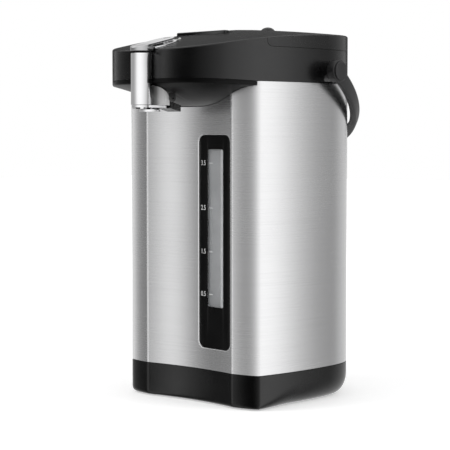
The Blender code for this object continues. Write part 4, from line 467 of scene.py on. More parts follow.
def crease_z(y):
    return CREASE_TOP_Z - CREASE_DROP * ((CREASE_TOP_Y - y) / (CREASE_TOP_Y - HEAD_FRONT_Y)) ** 2


def centre_z(y):
    edge = HEAD_FRONT_Y if y < CROWN_Y else DEPTH
    share = (y - CROWN_Y) / (edge - CROWN_Y)
    return CROWN_TOP_Z - (CROWN_TOP_Z - crease_z(edge)) * share ** CROWN_POWER


VENT_SEAT_Z = centre_z(VENT_Y - VENT_RADIUS) + GAP + VENT_RIM
VENT_TOP_Z = VENT_SEAT_Z + VENT_DOME


def steel_edge(half):
    """Height of the steel's front edge under the head, along a front half outline."""
    lengths = [0]
    for a, b in zip(half, half[1:]):
        lengths.append(lengths[-1] + math.dist(a, b))
    heights = []
    for length in lengths:
        u = length / lengths[-1]
        rise = smoothstep(u) ** STEEL_EDGE_POWER
        heights.append(STEEL_CENTRE_Z + (STEEL_STEP_Z - STEEL_CENTRE_Z) * rise)
    return heights


# Meshes

def finish_mesh(name, bm, material, angle=SHARP_DEG):
    bmesh.ops.recalc_face_normals(bm, faces=bm.faces)
    mesh = bpy.data.meshes.new(name)
    bm.to_mesh(mesh)
    bm.free()
    mesh.shade_smooth()
    mesh.set_sharp_from_angle(angle=math.radians(angle))
    item = bpy.data.objects.new(name, mesh)
    bpy.context.scene.collection.objects.link(item)
    if material:
        mesh.materials.append(material)
    return item


def loft(name, rings, material=None, pole=None, looped=False, angle=SHARP_DEG):
    """Skin a row of closed rings. A looped row meets itself, any other is capped."""
    bm = bmesh.new()
    rows = [[bm.verts.new(point) for point in ring] for ring in rings]
    pairs = list(zip(rows, rows[1:]))
    if looped:
        pairs.append((rows[-1], rows[0]))
    for low, high in pairs:
        for i in range(len(low)):
            j = (i + 1) % len(low)
            bm.faces.new((low[i], low[j], high[j], high[i]))
    if not looped:
        bm.faces.new(list(reversed(rows[0])))
        if pole is None:
            bm.faces.new(rows[-1])
        else:
            tip = bm.verts.new(pole)
            for i, corner in enumerate(rows[-1]):
                bm.faces.new((corner, rows[-1][(i + 1) % len(rows[-1])], tip))
    return finish_mesh(name, bm, material, angle)


def box(name, low, high, material=None):
    bm = bmesh.new()
    size = [b - a for a, b in zip(low, high)]
    middle = Vector([(a + b) / 2 for a, b in zip(low, high)])
    bmesh.ops.create_cube(bm, size=1, matrix=Matrix.Translation(middle) @ Matrix.Diagonal((*size, 1)))
    return finish_mesh(name, bm, material)


def turned(name, profile, place=(0, 0), material=None, sides=96, axis=None, angle=SHARP_DEG):
    """Turn a closed profile of radii and heights about an upright axis, or about another axis."""
    bm = bmesh.new()
    rows = []
    for r, z in profile:
        if r == 0:
            rows.append([bm.verts.new((0, 0, z))])
        else:
            rows.append([bm.verts.new((r * math.cos(2 * math.pi * i / sides),
                                       r * math.sin(2 * math.pi * i / sides), z)) for i in range(sides)])
    pairs = list(zip(rows, rows[1:]))
    if len(rows[0]) > 1 and len(rows[-1]) > 1:
        pairs.append((rows[-1], rows[0]))
    for a, b in pairs:
        for i in range(sides):
            j = (i + 1) % sides
            corners = [a[i % len(a)], a[j % len(a)], b[j % len(b)], b[i % len(b)]]
            unique = [v for k, v in enumerate(corners) if v not in corners[:k]]
            if len(unique) > 2:
                bm.faces.new(unique)
    matrix = Matrix.Translation((*place, 0)) if axis is None else axis
    bmesh.ops.transform(bm, matrix=matrix, verts=bm.verts)
    return finish_mesh(name, bm, material, angle)


def prism(name, outline, low, high, plane="XY", material=None, angle=SHARP_DEG):
    """A flat outline in one plane, made solid from one level to another across it."""
    place = {"XY": lambda u, v, w: (u, v, w), "YZ": lambda u, v, w: (w, u, v),
             "XZ": lambda u, v, w: (u, w, v)}[plane]
    return loft(name, [[place(u, v, w) for u, v in outline] for w in (low, high)], material, angle=angle)


def apply_modifiers(item):
    bpy.context.view_layer.update()
    graph = bpy.context.evaluated_depsgraph_get()
    mesh = bpy.data.meshes.new_from_object(item.evaluated_get(graph))
    old = item.data
    item.modifiers.clear()
    item.data = mesh
    bpy.data.meshes.remove(old)
    return item


def sharpen(item, angle=SHARP_DEG):
    """Shade a piece smooth, except across its sharp edges."""
    item.data.shade_smooth()
    item.data.set_sharp_from_angle(angle=math.radians(angle))


def boolean(item, operation, *tools):
    for tool in tools:
        modifier = item.modifiers.new("shape", "BOOLEAN")
        modifier.operation = operation
        modifier.solver = "EXACT"
        modifier.object = tool
    apply_modifiers(item)
    sharpen(item)
    for tool in tools:
        bpy.data.objects.remove(tool)
    return item


def cut(item, *tools):
    return boolean(item, "DIFFERENCE", *tools)


def join(item, *tools):
    return boolean(item, "UNION", *tools)


def bevel(item, width, segments=3, angle=SHARP_DEG):
    """Round the sharp edges of a piece."""
    modifier = item.modifiers.new("edges", "BEVEL")
    modifier.width = width
    modifier.segments = segments
    modifier.limit_method = "ANGLE"
    modifier.angle_limit = math.radians(angle)
    modifier.harden_normals = False
    modifier.use_clamp_overlap = True
    apply_modifiers(item)
    item.data.shade_smooth()
    item.data.set_sharp_from_angle(angle=math.radians(angle + SOFT_DEG - SHARP_DEG))
    return item


def rounded_rectangle(half_width, low, high, radius, middle=0, steps=10):
    points = []
    corners = ((half_width - radius, low + radius, -90), (half_width - radius, high - radius, 0),
               (radius - half_width, high - radius, 90), (radius - half_width, low + radius, 180))
    for x, y, start in corners:
        for i in range(steps + 1):
            angle = math.radians(start + 90 * i / steps)
            points.append((middle + x + radius * math.cos(angle), y + radius * math.sin(angle)))
    return points


def without_repeats(points):
    kept = []
    for point in points:
        if not kept or math.dist(point, kept[-1]) > TINY:
            kept.append(point)
    if math.dist(kept[0], kept[-1]) <= TINY:
        kept.pop()
    return kept


def slot_outline(half_width, front, rear, rear_radius, steps=36):
    """A plan with a half-round front and rounded rear corners."""
    points = []
    for i in range(steps + 1):
        angle = math.radians(180 + 180 * i / steps)
        points.append((half_width * math.cos(angle), front + half_width + half_width * math.sin(angle)))
    for x, start in ((half_width - rear_radius, 0), (rear_radius - half_width, 90)):
        for i in range(steps // 2 + 1):
            angle = math.radians(start + 180 * i / steps)
            points.append((x + rear_radius * math.cos(angle),
                           rear - rear_radius + rear_radius * math.sin(angle)))
    return without_repeats(points)


# Carrying

TO_WORLD = Matrix.Translation((0, SHIFT_Y, 0))
TO_HANDLE = (Matrix.Translation((0, HANDLE_Y + SHIFT_Y, HANDLE_Z))
             @ Matrix.Rotation(-math.radians(HANDLE_DROOP_DEG), 4, "X"))


def put(item, body, slot, *nodes, matrix=TO_WORLD):
    """Move a drawn piece to its place and let it ride on its body, in place of solids."""
    item.data.transform(matrix)
    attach(item, body)
    if nodes:
        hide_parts(*nodes)
    return item


# Materials

NOISE_LOW = 0.3
NOISE_HIGH = 0.7
GRAIN_SCALE = 2600
GRAIN_STRENGTH = 0.35
PLASTIC_SLOW_SCALE = 38
COAT_ROUGHNESS = 0.08
BRUSH_STRETCH = (26, 26, 5200)
BAND_STRETCH = (7, 7, 1900)
BRUSH_NOISE_ROUGHNESS = 0.7
BAND_NOISE_ROUGHNESS = 0.6
STEEL_SLOW_SCALE = 14
BRUSH_STRENGTH = 0.012
BRUSH_ROUGH_LOW = 0.95
BRUSH_ROUGH_HIGH = 1.05
BRUSH_TURN = 0.25
SMEAR_SCALE = 60
SMEAR_FINE_SCALE = 900
CLEAR_SLOW_SCALE = 50
CLEAR_FINE_SCALE = 300
CLEAR_TINT_GAIN = 1.03
CLEAR_ROUGH_LOW = 0.8
CLEAR_ROUGH_HIGH = 1.3
CLEAR_IOR = 1.47
FINE_STRENGTH = 0.05
FINE_DEPTH = 0.00001


def material(name):
    made = bpy.data.materials.new(name)
    made.use_nodes = True
    return made, made.node_tree, made.node_tree.nodes["Principled BSDF"]


def node(tree, kind, **settings):
    made = tree.nodes.new(kind)
    for key, value in settings.items():
        if key in made.inputs:
            made.inputs[key].default_value = value
        else:
            setattr(made, key, value)
    return made


def coordinates(tree, scale):
    """Object coordinates, stretched."""
    source = tree.nodes.new("ShaderNodeTexCoord")
    mapping = tree.nodes.new("ShaderNodeMapping")
    mapping.inputs["Scale"].default_value = scale
    tree.links.new(source.outputs["Object"], mapping.inputs["Vector"])
    return mapping.outputs["Vector"]


def noise(tree, scale, detail=3.0, stretch=(1, 1, 1), roughness=0.5):
    made = tree.nodes.new("ShaderNodeTexNoise")
    made.inputs["Scale"].default_value = scale
    made.inputs["Detail"].default_value = detail
    made.inputs["Roughness"].default_value = roughness
    tree.links.new(coordinates(tree, stretch), made.inputs["Vector"])
    return made.outputs["Fac"]


def ramp(tree, source, low, high, at_low=0.0, at_high=1.0):
    """Map a range of a value to another range."""
    made = tree.nodes.new("ShaderNodeMapRange")
    made.inputs["From Min"].default_value = at_low
    made.inputs["From Max"].default_value = at_high
    made.inputs["To Min"].default_value = low
    made.inputs["To Max"].default_value = high
    tree.links.new(source, made.inputs["Value"])
    return made.outputs["Result"]


def colour_ramp(tree, source, first, second, at_first=NOISE_LOW, at_second=NOISE_HIGH):
    made = tree.nodes.new("ShaderNodeValToRGB")
    made.color_ramp.elements[0].position = at_first
    made.color_ramp.elements[0].color = (*first, 1)
    made.color_ramp.elements[1].position = at_second
    made.color_ramp.elements[1].color = (*second, 1)
    tree.links.new(source, made.inputs["Fac"])
    return made.outputs["Color"]


def bump(tree, shader, source, strength, distance):
    made = tree.nodes.new("ShaderNodeBump")
    made.inputs["Strength"].default_value = strength
    made.inputs["Distance"].default_value = distance
    tree.links.new(source, made.inputs["Height"])
    tree.links.new(made.outputs["Normal"], shader.inputs["Normal"])
    return made


def moulded_plastic(name, dark, light, rough_low, rough_high, grain=0.00006, specular=0.5):
    """Moulded plastic with a fine grain, and slow changes of colour and gloss."""
    made, tree, shader = material(name)
    fine = noise(tree, GRAIN_SCALE, 2.0)
    slow = noise(tree, PLASTIC_SLOW_SCALE, 4.0)
    tree.links.new(colour_ramp(tree, slow, dark, light), shader.inputs["Base Color"])
    gloss = ramp(tree, slow, rough_low, rough_high, NOISE_LOW, NOISE_HIGH)
    tree.links.new(gloss, shader.inputs["Roughness"])
    shader.inputs["Specular IOR Level"].default_value = specular
    shader.inputs["Coat Roughness"].default_value = COAT_ROUGHNESS
    bump(tree, shader, fine, GRAIN_STRENGTH, grain)
    return made


def ramp_marks(shades, stops):
    """Give a colour ramp grey marks, each a place and a level."""
    marks = shades.color_ramp.elements
    while len(marks) > 1:
        marks.remove(marks[-1])
    for i, (place, level) in enumerate(stops):
        mark = marks[0] if i == 0 else marks.new(place)
        mark.position = place
        mark.color = (level, level, level, 1)


def paint_shade_along(made, axis, stops):
    """Paint shade into a material's colour along one axis of its piece, by grey levels that multiply it."""
    tree = made.node_tree
    shader = tree.nodes["Principled BSDF"]
    parts = tree.nodes.new("ShaderNodeSeparateXYZ")
    tree.links.new(coordinates(tree, (1, 1, 1)), parts.inputs[0])
    start, end = stops[0][0], stops[-1][0]
    place = ramp(tree, parts.outputs[axis], 0, 1, start, end)
    shades = tree.nodes.new("ShaderNodeValToRGB")
    ramp_marks(shades, [((at - start) / (end - start), level) for at, level in stops])
    tree.links.new(place, shades.inputs["Fac"])
    mixed = node(tree, "ShaderNodeMix", data_type="RGBA", blend_type="MULTIPLY")
    mixed.inputs["Factor"].default_value = 1.0
    tree.links.new(shades.outputs["Color"], mixed.inputs["A"])
    tree.links.new(shader.inputs["Base Color"].links[0].from_socket, mixed.inputs["B"])
    tree.links.new(mixed.outputs["Result"], shader.inputs["Base Color"])
    return made


def brushed_steel(name, light, dark, rough_low, rough_high, anisotropy):
    """Steel with fine brush lines that run round the body."""
    made, tree, shader = material(name)
    links = tree.links
    lines = noise(tree, 1.0, 4.0, BRUSH_STRETCH, BRUSH_NOISE_ROUGHNESS)
    bands = noise(tree, 1.0, 3.0, BAND_STRETCH, BAND_NOISE_ROUGHNESS)
    slow = noise(tree, STEEL_SLOW_SCALE, 3.0)
    mixed = node(tree, "ShaderNodeMath", operation="ADD")
    links.new(lines, mixed.inputs[0])
    links.new(bands, mixed.inputs[1])
    colour = colour_ramp(tree, mixed.outputs[0], dark, light, 2 * NOISE_LOW, 2 * NOISE_HIGH)
    links.new(colour, shader.inputs["Base Color"])
    rough = node(tree, "ShaderNodeMath", operation="MULTIPLY")
    links.new(ramp(tree, lines, BRUSH_ROUGH_LOW, BRUSH_ROUGH_HIGH, NOISE_LOW, NOISE_HIGH), rough.inputs[0])
    links.new(ramp(tree, slow, rough_low, rough_high, NOISE_LOW, NOISE_HIGH), rough.inputs[1])
    links.new(rough.outputs[0], shader.inputs["Roughness"])
    shader.inputs["Metallic"].default_value = 1.0
    shader.inputs["Anisotropic"].default_value = anisotropy
    shader.inputs["Anisotropic Rotation"].default_value = BRUSH_TURN
    tangent = node(tree, "ShaderNodeTangent", direction_type="RADIAL", axis="Z")
    links.new(tangent.outputs["Tangent"], shader.inputs["Tangent"])
    bump(tree, shader, lines, BRUSH_STRENGTH, FINE_DEPTH)
    return made


def polished(name, first, second, rough_low, rough_high):
    """Plated metal with faint smears."""
    made, tree, shader = material(name)
    slow = noise(tree, SMEAR_SCALE, 4.0)
    tree.links.new(colour_ramp(tree, slow, first, second), shader.inputs["Base Color"])
    gloss = ramp(tree, slow, rough_low, rough_high, NOISE_LOW, NOISE_HIGH)
    tree.links.new(gloss, shader.inputs["Roughness"])
    shader.inputs["Metallic"].default_value = 1.0
    bump(tree, shader, noise(tree, SMEAR_FINE_SCALE, 2.0), FINE_STRENGTH, FINE_DEPTH)
    return made


def clear_plastic(name, tint, roughness):
    made, tree, shader = material(name)
    slow = noise(tree, CLEAR_SLOW_SCALE, 3.0)
    lighter = tuple(min(1, c * CLEAR_TINT_GAIN) for c in tint)
    tree.links.new(colour_ramp(tree, slow, tint, lighter), shader.inputs["Base Color"])
    gloss = ramp(tree, slow, roughness * CLEAR_ROUGH_LOW, roughness * CLEAR_ROUGH_HIGH, NOISE_LOW, NOISE_HIGH)
    tree.links.new(gloss, shader.inputs["Roughness"])
    shader.inputs["Transmission Weight"].default_value = 1.0
    shader.inputs["IOR"].default_value = CLEAR_IOR
    bump(tree, shader, noise(tree, CLEAR_FINE_SCALE, 2.0), FINE_STRENGTH, FINE_DEPTH)
    return made


# Painted shade and sheen, as grey levels along an axis of the piece, in metres from the pot's origin
# Painted shade on the chin: near black up under the head's rim, grey down by the steel's edge
CHIN_PAINTED_SHADE_LEVELS = ((0.2680, 0.40), (0.2700, 0.19), (0.2733, 0.09), (0.2768, 0.045), (0.2803, 0.025),
               (0.2838, 0.008), (0.2890, 0.003))
# Painted shade and sheen on the spout housing: near black by the column, full colour toward its rear
SATIN_SHADE_AND_SHEEN_LEVELS = ((-0.1090, 0.03), (-0.1050, 0.20), (-0.1010, 0.75), (-0.0970, 1.0), (-0.0880, 1.0))
# Painted shade on the lever cap: darker at its front, brighter toward its rear
CAP_PAINTED_SHADE_LEVELS = ((-0.1260, 0.45), (-0.1190, 0.60), (-0.1130, 0.80), (-0.1040, 0.95), (-0.0780, 0.95))

HEAD_BLACK = moulded_plastic("head_black_plastic", (0.0026, 0.0026, 0.0028), (0.0036, 0.0036, 0.0038),
                             0.22, 0.28)
BASE_BLACK = moulded_plastic("base_black_plastic", (0.0014, 0.0014, 0.0015), (0.002, 0.002, 0.0021),
                             0.22, 0.28)
HANDLE_BLACK = moulded_plastic("handle_black_plastic", (0.011, 0.011, 0.0115), (0.016, 0.016, 0.0165),
                               0.44, 0.54, 0.00010)
LID_BLACK = moulded_plastic("lid_black_plastic", (0.0026, 0.0026, 0.0028), (0.0036, 0.0036, 0.0038),
                            0.25, 0.32)
INNER_BLACK = moulded_plastic("inner_black_plastic", (0.014, 0.014, 0.0145), (0.02, 0.02, 0.021),
                              0.42, 0.52, 0.0001)
GLOSS_BLACK = moulded_plastic("gloss_black_plastic", (0.004, 0.004, 0.0043), (0.006, 0.006, 0.0063),
                              0.06, 0.11, 0.00001)
BEZEL_BLACK = moulded_plastic("bezel_black_plastic", (0.0018, 0.0018, 0.0019), (0.0026, 0.0026, 0.0027),
                              0.26, 0.33, 0.00002, 0.18)
RUBBER = moulded_plastic("foot_rubber", (0.016, 0.016, 0.016), (0.026, 0.026, 0.026),
                         0.72, 0.85, 0.0001, 0.3)
SEAL_RUBBER = moulded_plastic("seal_rubber", (0.45, 0.45, 0.44), (0.55, 0.55, 0.54),
                              0.45, 0.55, 0.00005, 0.4)
WHITE_PLASTIC = moulded_plastic("white_plastic", (0.74, 0.74, 0.72), (0.82, 0.82, 0.80),
                                0.36, 0.46, 0.00003)
FOAM = moulded_plastic("foam", (0.62, 0.62, 0.60), (0.76, 0.76, 0.74), 0.85, 0.95, 0.0004, 0.2)
BOARD = moulded_plastic("board_laminate", (0.03, 0.14, 0.06), (0.05, 0.20, 0.08), 0.3, 0.42, 0.00002)
STEEL = brushed_steel("body_brushed_steel", (0.65, 0.65, 0.655), (0.59, 0.59, 0.595), 0.25, 0.28, 0.6)
VESSEL_STEEL = brushed_steel("vessel_steel", (0.74, 0.74, 0.74), (0.64, 0.64, 0.64), 0.18, 0.24, 0.5)
SMALL_STEEL = polished("small_steel", (0.62, 0.62, 0.63), (0.70, 0.70, 0.71), 0.16, 0.26)
CHROME = polished("chrome", (0.86, 0.86, 0.87), (0.90, 0.90, 0.91), 0.035, 0.07)
# Chrome of the lever cap, with painted shade toward its front
PAINTED_CAP_CHROME = paint_shade_along(polished("cap_chrome_painted_shade", (0.92, 0.92, 0.93), (0.97, 0.97, 0.98), 0.035, 0.07),
                          "Y", CAP_PAINTED_SHADE_LEVELS)
# The chin's colour is painted shade: a pale base darkened by grey levels up toward the rim
PAINTED_CHIN_BLACK = paint_shade_along(moulded_plastic("chin_black_painted_shade", (0.90, 0.90, 0.90), (1.0, 1.0, 1.0),
                          0.30, 0.40, 0.00006, 0.12), "Z", CHIN_PAINTED_SHADE_LEVELS)
# Pale plastic for the spout housing's satin chrome, its colour carrying painted shade and sheen
PAINTED_SATIN = paint_shade_along(moulded_plastic("satin_painted_shade_and_sheen", (0.90, 0.90, 0.90), (1.0, 1.0, 1.0),
                     0.16, 0.22, 0.00001, 0.5), "Y", SATIN_SHADE_AND_SHEEN_LEVELS)
BRASS = polished("brass", (0.66, 0.46, 0.18), (0.76, 0.56, 0.26), 0.2, 0.32)
CLEAR = clear_plastic("clear_window", (0.93, 0.94, 0.95), 0.04)
GAUGE_GREY = moulded_plastic("gauge_back_grey", (0.50, 0.50, 0.50), (0.60, 0.60, 0.60),
                             0.35, 0.45, 0.00002)
RIB_WHITE = moulded_plastic("gauge_rib_white", (0.84, 0.84, 0.84), (0.90, 0.90, 0.90), 0.2, 0.3, 0.00002)
PRINT_WHITE = moulded_plastic("printed_white", (0.78, 0.78, 0.78), (0.86, 0.86, 0.86), 0.5, 0.6, 0.00001)


# Base and body

def round_radius(y):
    return ROUND_FRONT + (ROUND_REAR - ROUND_FRONT) * smoothstep(y / ROUND_BLEND_Y)


def base_rings(wall, steps=10):
    rings = []
    for k in range(steps + 1):
        angle = math.pi / 2 * k / steps
        ring = inset(BODY, lambda y: wall + round_radius(y) * (1 - math.sin(angle)))
        rise = ROUND_RISE_SHARE * (1 - math.cos(angle))
        rings.append([(x, y, COVER_Z + rise * round_radius(at[1])) for (x, y), at in zip(ring, BODY)])
    return rings


def make_base():
    rings = [at_height(inset(BODY, BASE_WALL), BASE_TOP - BASE_WALL)]
    rings += base_rings(BASE_WALL)[::-1] + base_rings(0)
    rings.append(at_height(BODY, BASE_TOP - BASE_EDGE))
    chamfer = BASE_EDGE * BASE_EDGE_SHARE
    rings.append(at_height(inset(BODY, chamfer), BASE_TOP - chamfer))
    rings.append(at_height(inset(BODY, BASE_EDGE), BASE_TOP))
    lip = STEEL_WALL + GAP + BASE_LIP_SPACE
    inner = lip + BASE_LIP_WALL
    for distance, rise in ((lip, 0), (lip, BASE_LIP_HEIGHT), (inner, BASE_LIP_HEIGHT), (inner, 0)):
        rings.append(at_height(inset(BODY, distance), BASE_TOP + rise))
    base = loft("base", rings, BASE_BLACK, angle=SOFT_DEG)
    half = INLET_HALF_WIDTH + GAP
    notch = box("notch", (INLET_X - half, INLET_FRONT_Y - GAP, BASE_TOP - INLET_HEIGHT - GAP),
                (INLET_X + half, INLET_REAR_Y + FAR_REACH, BASE_TOP + INLET_NOTCH_RISE))
    put(cut(base, notch), "housing", "black_plastic", "base_shell")


def make_steel():
    low = BASE_TOP + GAP
    tops = {}
    for i, z in enumerate(steel_edge(body_front_half()[:CHIN_END + 1])):
        tops[i] = z - GAP
        tops[-i % len(BODY)] = z - GAP

    def top_ring(distance):
        return [(x, y, tops.get(i, SEAM_SIDE_Z - GAP)) for i, (x, y) in enumerate(inset(BODY, distance))]

    rings = [[(x, y, low + (z - low) * k / STEEL_ROWS) for x, y, z in top_ring(0)]
             for k in range(STEEL_ROWS + 1)]
    rings += [top_ring(STEEL_WALL), at_height(inset(BODY, STEEL_WALL), low)]
    steel = loft("steel_body", rings, STEEL, looped=True, angle=SOFT_DEG)
    cut(steel, prism("hole", gauge_outline(LIP_ROUND), -CUT_REACH, TUBE_Y, "XZ"))
    put(steel, "housing", "brushed_steel", "steel_shell")
    make_gauge_lip()


def gauge_outline(grown):
    """The gauge's outline in the front, grown by a distance."""
    return rounded_rectangle(GAUGE_WIDTH / 2 + grown, GAUGE_BOTTOM_Z - grown, GAUGE_TOP_Z + grown,
                             GAUGE_CORNER + grown, GAUGE_X, FRAME_STEPS)


def make_gauge_lip():
    """The steel's edge round the gauge, turned inwards with a small radius."""
    turns = [math.pi / 2 * k / 8 for k in range(9)]
    section = [(1 - math.sin(a), LIP_ROUND * (1 - math.cos(a))) for a in turns]
    section += [(0, LIP_DEPTH), (0.5, LIP_DEPTH), (0.5, LIP_ROUND + STEEL_WALL / 2), (1, STEEL_WALL)]
    sections = []
    for (x, z), (gx, gz) in zip(gauge_outline(0), gauge_outline(LIP_ROUND)):
        sections.append([(x + (gx - x) * s, front_y(x + (gx - x) * s) + depth, z + (gz - z) * s)
                         for s, depth in section])
    lip = loft("gauge_lip", sections, STEEL, looped=True, angle=SOFTEST_DEG)
    put(lip, "housing", "brushed_steel", "steel_shell")


def front_plate(name, outline, sunk, thickness, made):
    """A plate that follows the hollow of the front."""
    plate = prism(name, outline, -CUT_REACH, TUBE_Y, "XZ", made)
    low = min(p[1] for p in outline) - CUT_REACH
    high = max(p[1] for p in outline) + CUT_REACH
    near, far = inset(BODY, sunk), inset(BODY, sunk + thickness)
    rings = [at_height(near, low), at_height(near, high), at_height(far, high), at_height(far, low)]
    skin = loft("skin", rings, looped=True)
    return boolean(plate, "INTERSECT", skin)


def window_outline(shrunk):
    return rounded_rectangle(WINDOW_WIDTH / 2 - shrunk, WINDOW_BOTTOM_Z + shrunk, WINDOW_TOP_Z - shrunk,
                             WINDOW_CORNER - shrunk, GAUGE_X)


def make_gauge():
    bezel = front_plate("gauge_frame", gauge_outline(-GAP), GAUGE_SUNK, BEZEL_THICKNESS, BEZEL_BLACK)
    cut(bezel, prism("hole", window_outline(0), -CUT_REACH, TUBE_Y, "XZ"))
    put(bevel(bezel, BEZEL_EDGE, 2), "housing", "gloss_black", "gauge_bezel")
    window = front_plate("gauge_glass", window_outline(GAP), GLASS_SUNK, GLASS_THICKNESS, CLEAR)
    put(window, "housing", "clear_plastic", "gauge_window")
    left = GAUGE_X - WINDOW_WIDTH / 2
    depth = front_y(GAUGE_X) + GAUGE_BACK_DEPTH
    back = box("gauge_back", (left - GAUGE_BACK_MARGIN, depth, WINDOW_BOTTOM_Z - GAUGE_BACK_MARGIN),
               (left + WINDOW_WIDTH + GAUGE_BACK_MARGIN, depth + GAUGE_BACK_THICKNESS,
                WINDOW_TOP_Z + GAUGE_BACK_MARGIN), GAUGE_GREY)
    put(bevel(back, GAUGE_BACK_EDGE, 2), "housing", "clear_plastic")
    rib = []
    for k in range(RIB_STEPS + 1):
        a = math.pi * k / RIB_STEPS
        rib.append((RIB_X + RIB_RADIUS * math.cos(a), depth - RIB_RADIUS * RIB_DEPTH_SHARE * math.sin(a)))
    rib += [(RIB_X - RIB_RADIUS, depth + RIB_FOOT), (RIB_X + RIB_RADIUS, depth + RIB_FOOT)]
    column = prism("gauge_rib", rib, WINDOW_BOTTOM_Z - RIB_END, WINDOW_TOP_Z + RIB_END, "XY", RIB_WHITE,
                   SOFT_DEG)
    put(column, "housing", "clear_plastic")
    for height, words in SCALE_MARKS:
        outline = rounded_rectangle(TICK_HALF_LENGTH, height - TICK_HALF_HEIGHT, height + TICK_HALF_HEIGHT,
                                    TICK_ROUND, left + TICK_X, 4)
        tick = prism("tick", outline, 0, TICK_THICKNESS, "XZ", PRINT_WHITE)
        for vertex in tick.data.vertices:
            vertex.co.y += front_y(vertex.co.x) + TICK_DEPTH
        put(tick, "housing", "white_plastic")
        numeral(words, height)


def numeral(words, height):
    """A plain number of the gauge scale, printed left of the window."""
    curve = bpy.data.curves.new("numeral", "FONT")
    curve.body = words
    curve.size = NUMERAL_SIZE
    curve.extrude = NUMERAL_THICKNESS
    curve.align_x = "CENTER"
    curve.align_y = "CENTER"
    holder = bpy.data.objects.new("numeral_curve", curve)
    bpy.context.scene.collection.objects.link(holder)
    bpy.context.view_layer.update()
    graph = bpy.context.evaluated_depsgraph_get()
    mesh = bpy.data.meshes.new_from_object(holder.evaluated_get(graph))
    bpy.data.objects.remove(holder)
    middle = GAUGE_X - WINDOW_WIDTH / 2 - NUMERAL_X
    for vertex in mesh.vertices:
        x, z, lift = vertex.co
        x = middle + x * NUMERAL_WIDTH_SHARE
        vertex.co = (x, front_y(x) + GAUGE_SUNK - NUMERAL_LIFT - lift, height + z)
    mesh.materials.clear()
    mesh.materials.append(PRINT_WHITE)
    item = bpy.data.objects.new("numeral_" + words.replace(".", "_"), mesh)
    bpy.context.scene.collection.objects.link(item)
    put(item, "housing", "white_plastic")


# Head

def head_form(name, wall=0, low=None, made=None, edge=EDGE_ROUND):
    outline = inset(HEAD, wall)
    rings = [at_height(outline, seam_z if low is None else low)]
    for k in range(EDGE_STEPS + 1):
        angle = math.pi / 2 * k / EDGE_STEPS
        drop = edge * (1 - math.sin(angle))
        ring = inset(outline, edge * (1 - math.cos(angle)))
        rings.append([(x, y, crease_z(y) - wall - drop) for x, y in ring])
    top = inset(outline, edge)
    for share in TOP_SHARES:
        ring = []
        for x, y in top:
            z = CROWN_TOP_Z - (CROWN_TOP_Z - crease_z(y)) * share ** CROWN_POWER - wall
            ring.append((x * share, CROWN_Y + (y - CROWN_Y) * share, z))
        rings.append(ring)
    return loft(name, rings, made, pole=(0, CROWN_Y, CROWN_TOP_Z - wall), angle=SOFT_DEG)


def lid_profile(gap):
    front = LID_FRONT_Y + gap
    low = LID_SEAM_Z + gap
    high = VENT_TOP_Z + CUT_REACH
    points = [(HINGE_Y, low), (HINGE_Y, high), (front, high)]
    for i in range(9):
        angle = math.radians(180 + 90 * i / 8)
        points.append((front + LID_CORNER_RADIUS * (1 + math.cos(angle)),
                       low + LID_CORNER_RADIUS * (1 + math.sin(angle))))
    return points


def rod(name, radius, start, end, sides=64, made=None):
    start, end = Vector(start), Vector(end)
    bm = bmesh.new()
    bmesh.ops.create_cone(bm, cap_ends=True, segments=sides, radius1=radius, radius2=radius,
                          depth=(end - start).length)
    turn = (end - start).to_track_quat("Z", "Y").to_matrix().to_4x4()
    bmesh.ops.transform(bm, matrix=Matrix.Translation((start + end) / 2) @ turn, verts=bm.verts)
    return finish_mesh(name, bm, made)


def rod_x(name, radius, start, end, y, z, sides=64, made=None):
    return rod(name, radius, (start, y, z), (end, y, z), sides, made)


def rod_z(name, radius, y, low, high, sides=64, made=None):
    return rod(name, radius, (0, y, low), (0, y, high), sides, made)


def panel_tilt():
    rise = centre_z(ESCUTCHEON_REAR_Y) - centre_z(ESCUTCHEON_FRONT_Y)
    return math.atan2(rise, ESCUTCHEON_REAR_Y - ESCUTCHEON_FRONT_Y)


def escutcheon(name, border, low, high, made=None):
    half_length = (ESCUTCHEON_REAR_Y - ESCUTCHEON_FRONT_Y) / 2 / math.cos(panel_tilt()) + border
    half_width = ESCUTCHEON_HALF + border
    plan = slot_outline(half_width, -half_length, half_length, half_width - TINY)
    item = prism(name, plan, low, high, "XY", made)
    y = (ESCUTCHEON_FRONT_Y + ESCUTCHEON_REAR_Y) / 2
    item.data.transform(Matrix.Translation((0, y, centre_z(y))) @ Matrix.Rotation(panel_tilt(), 4, "X"))
    return item


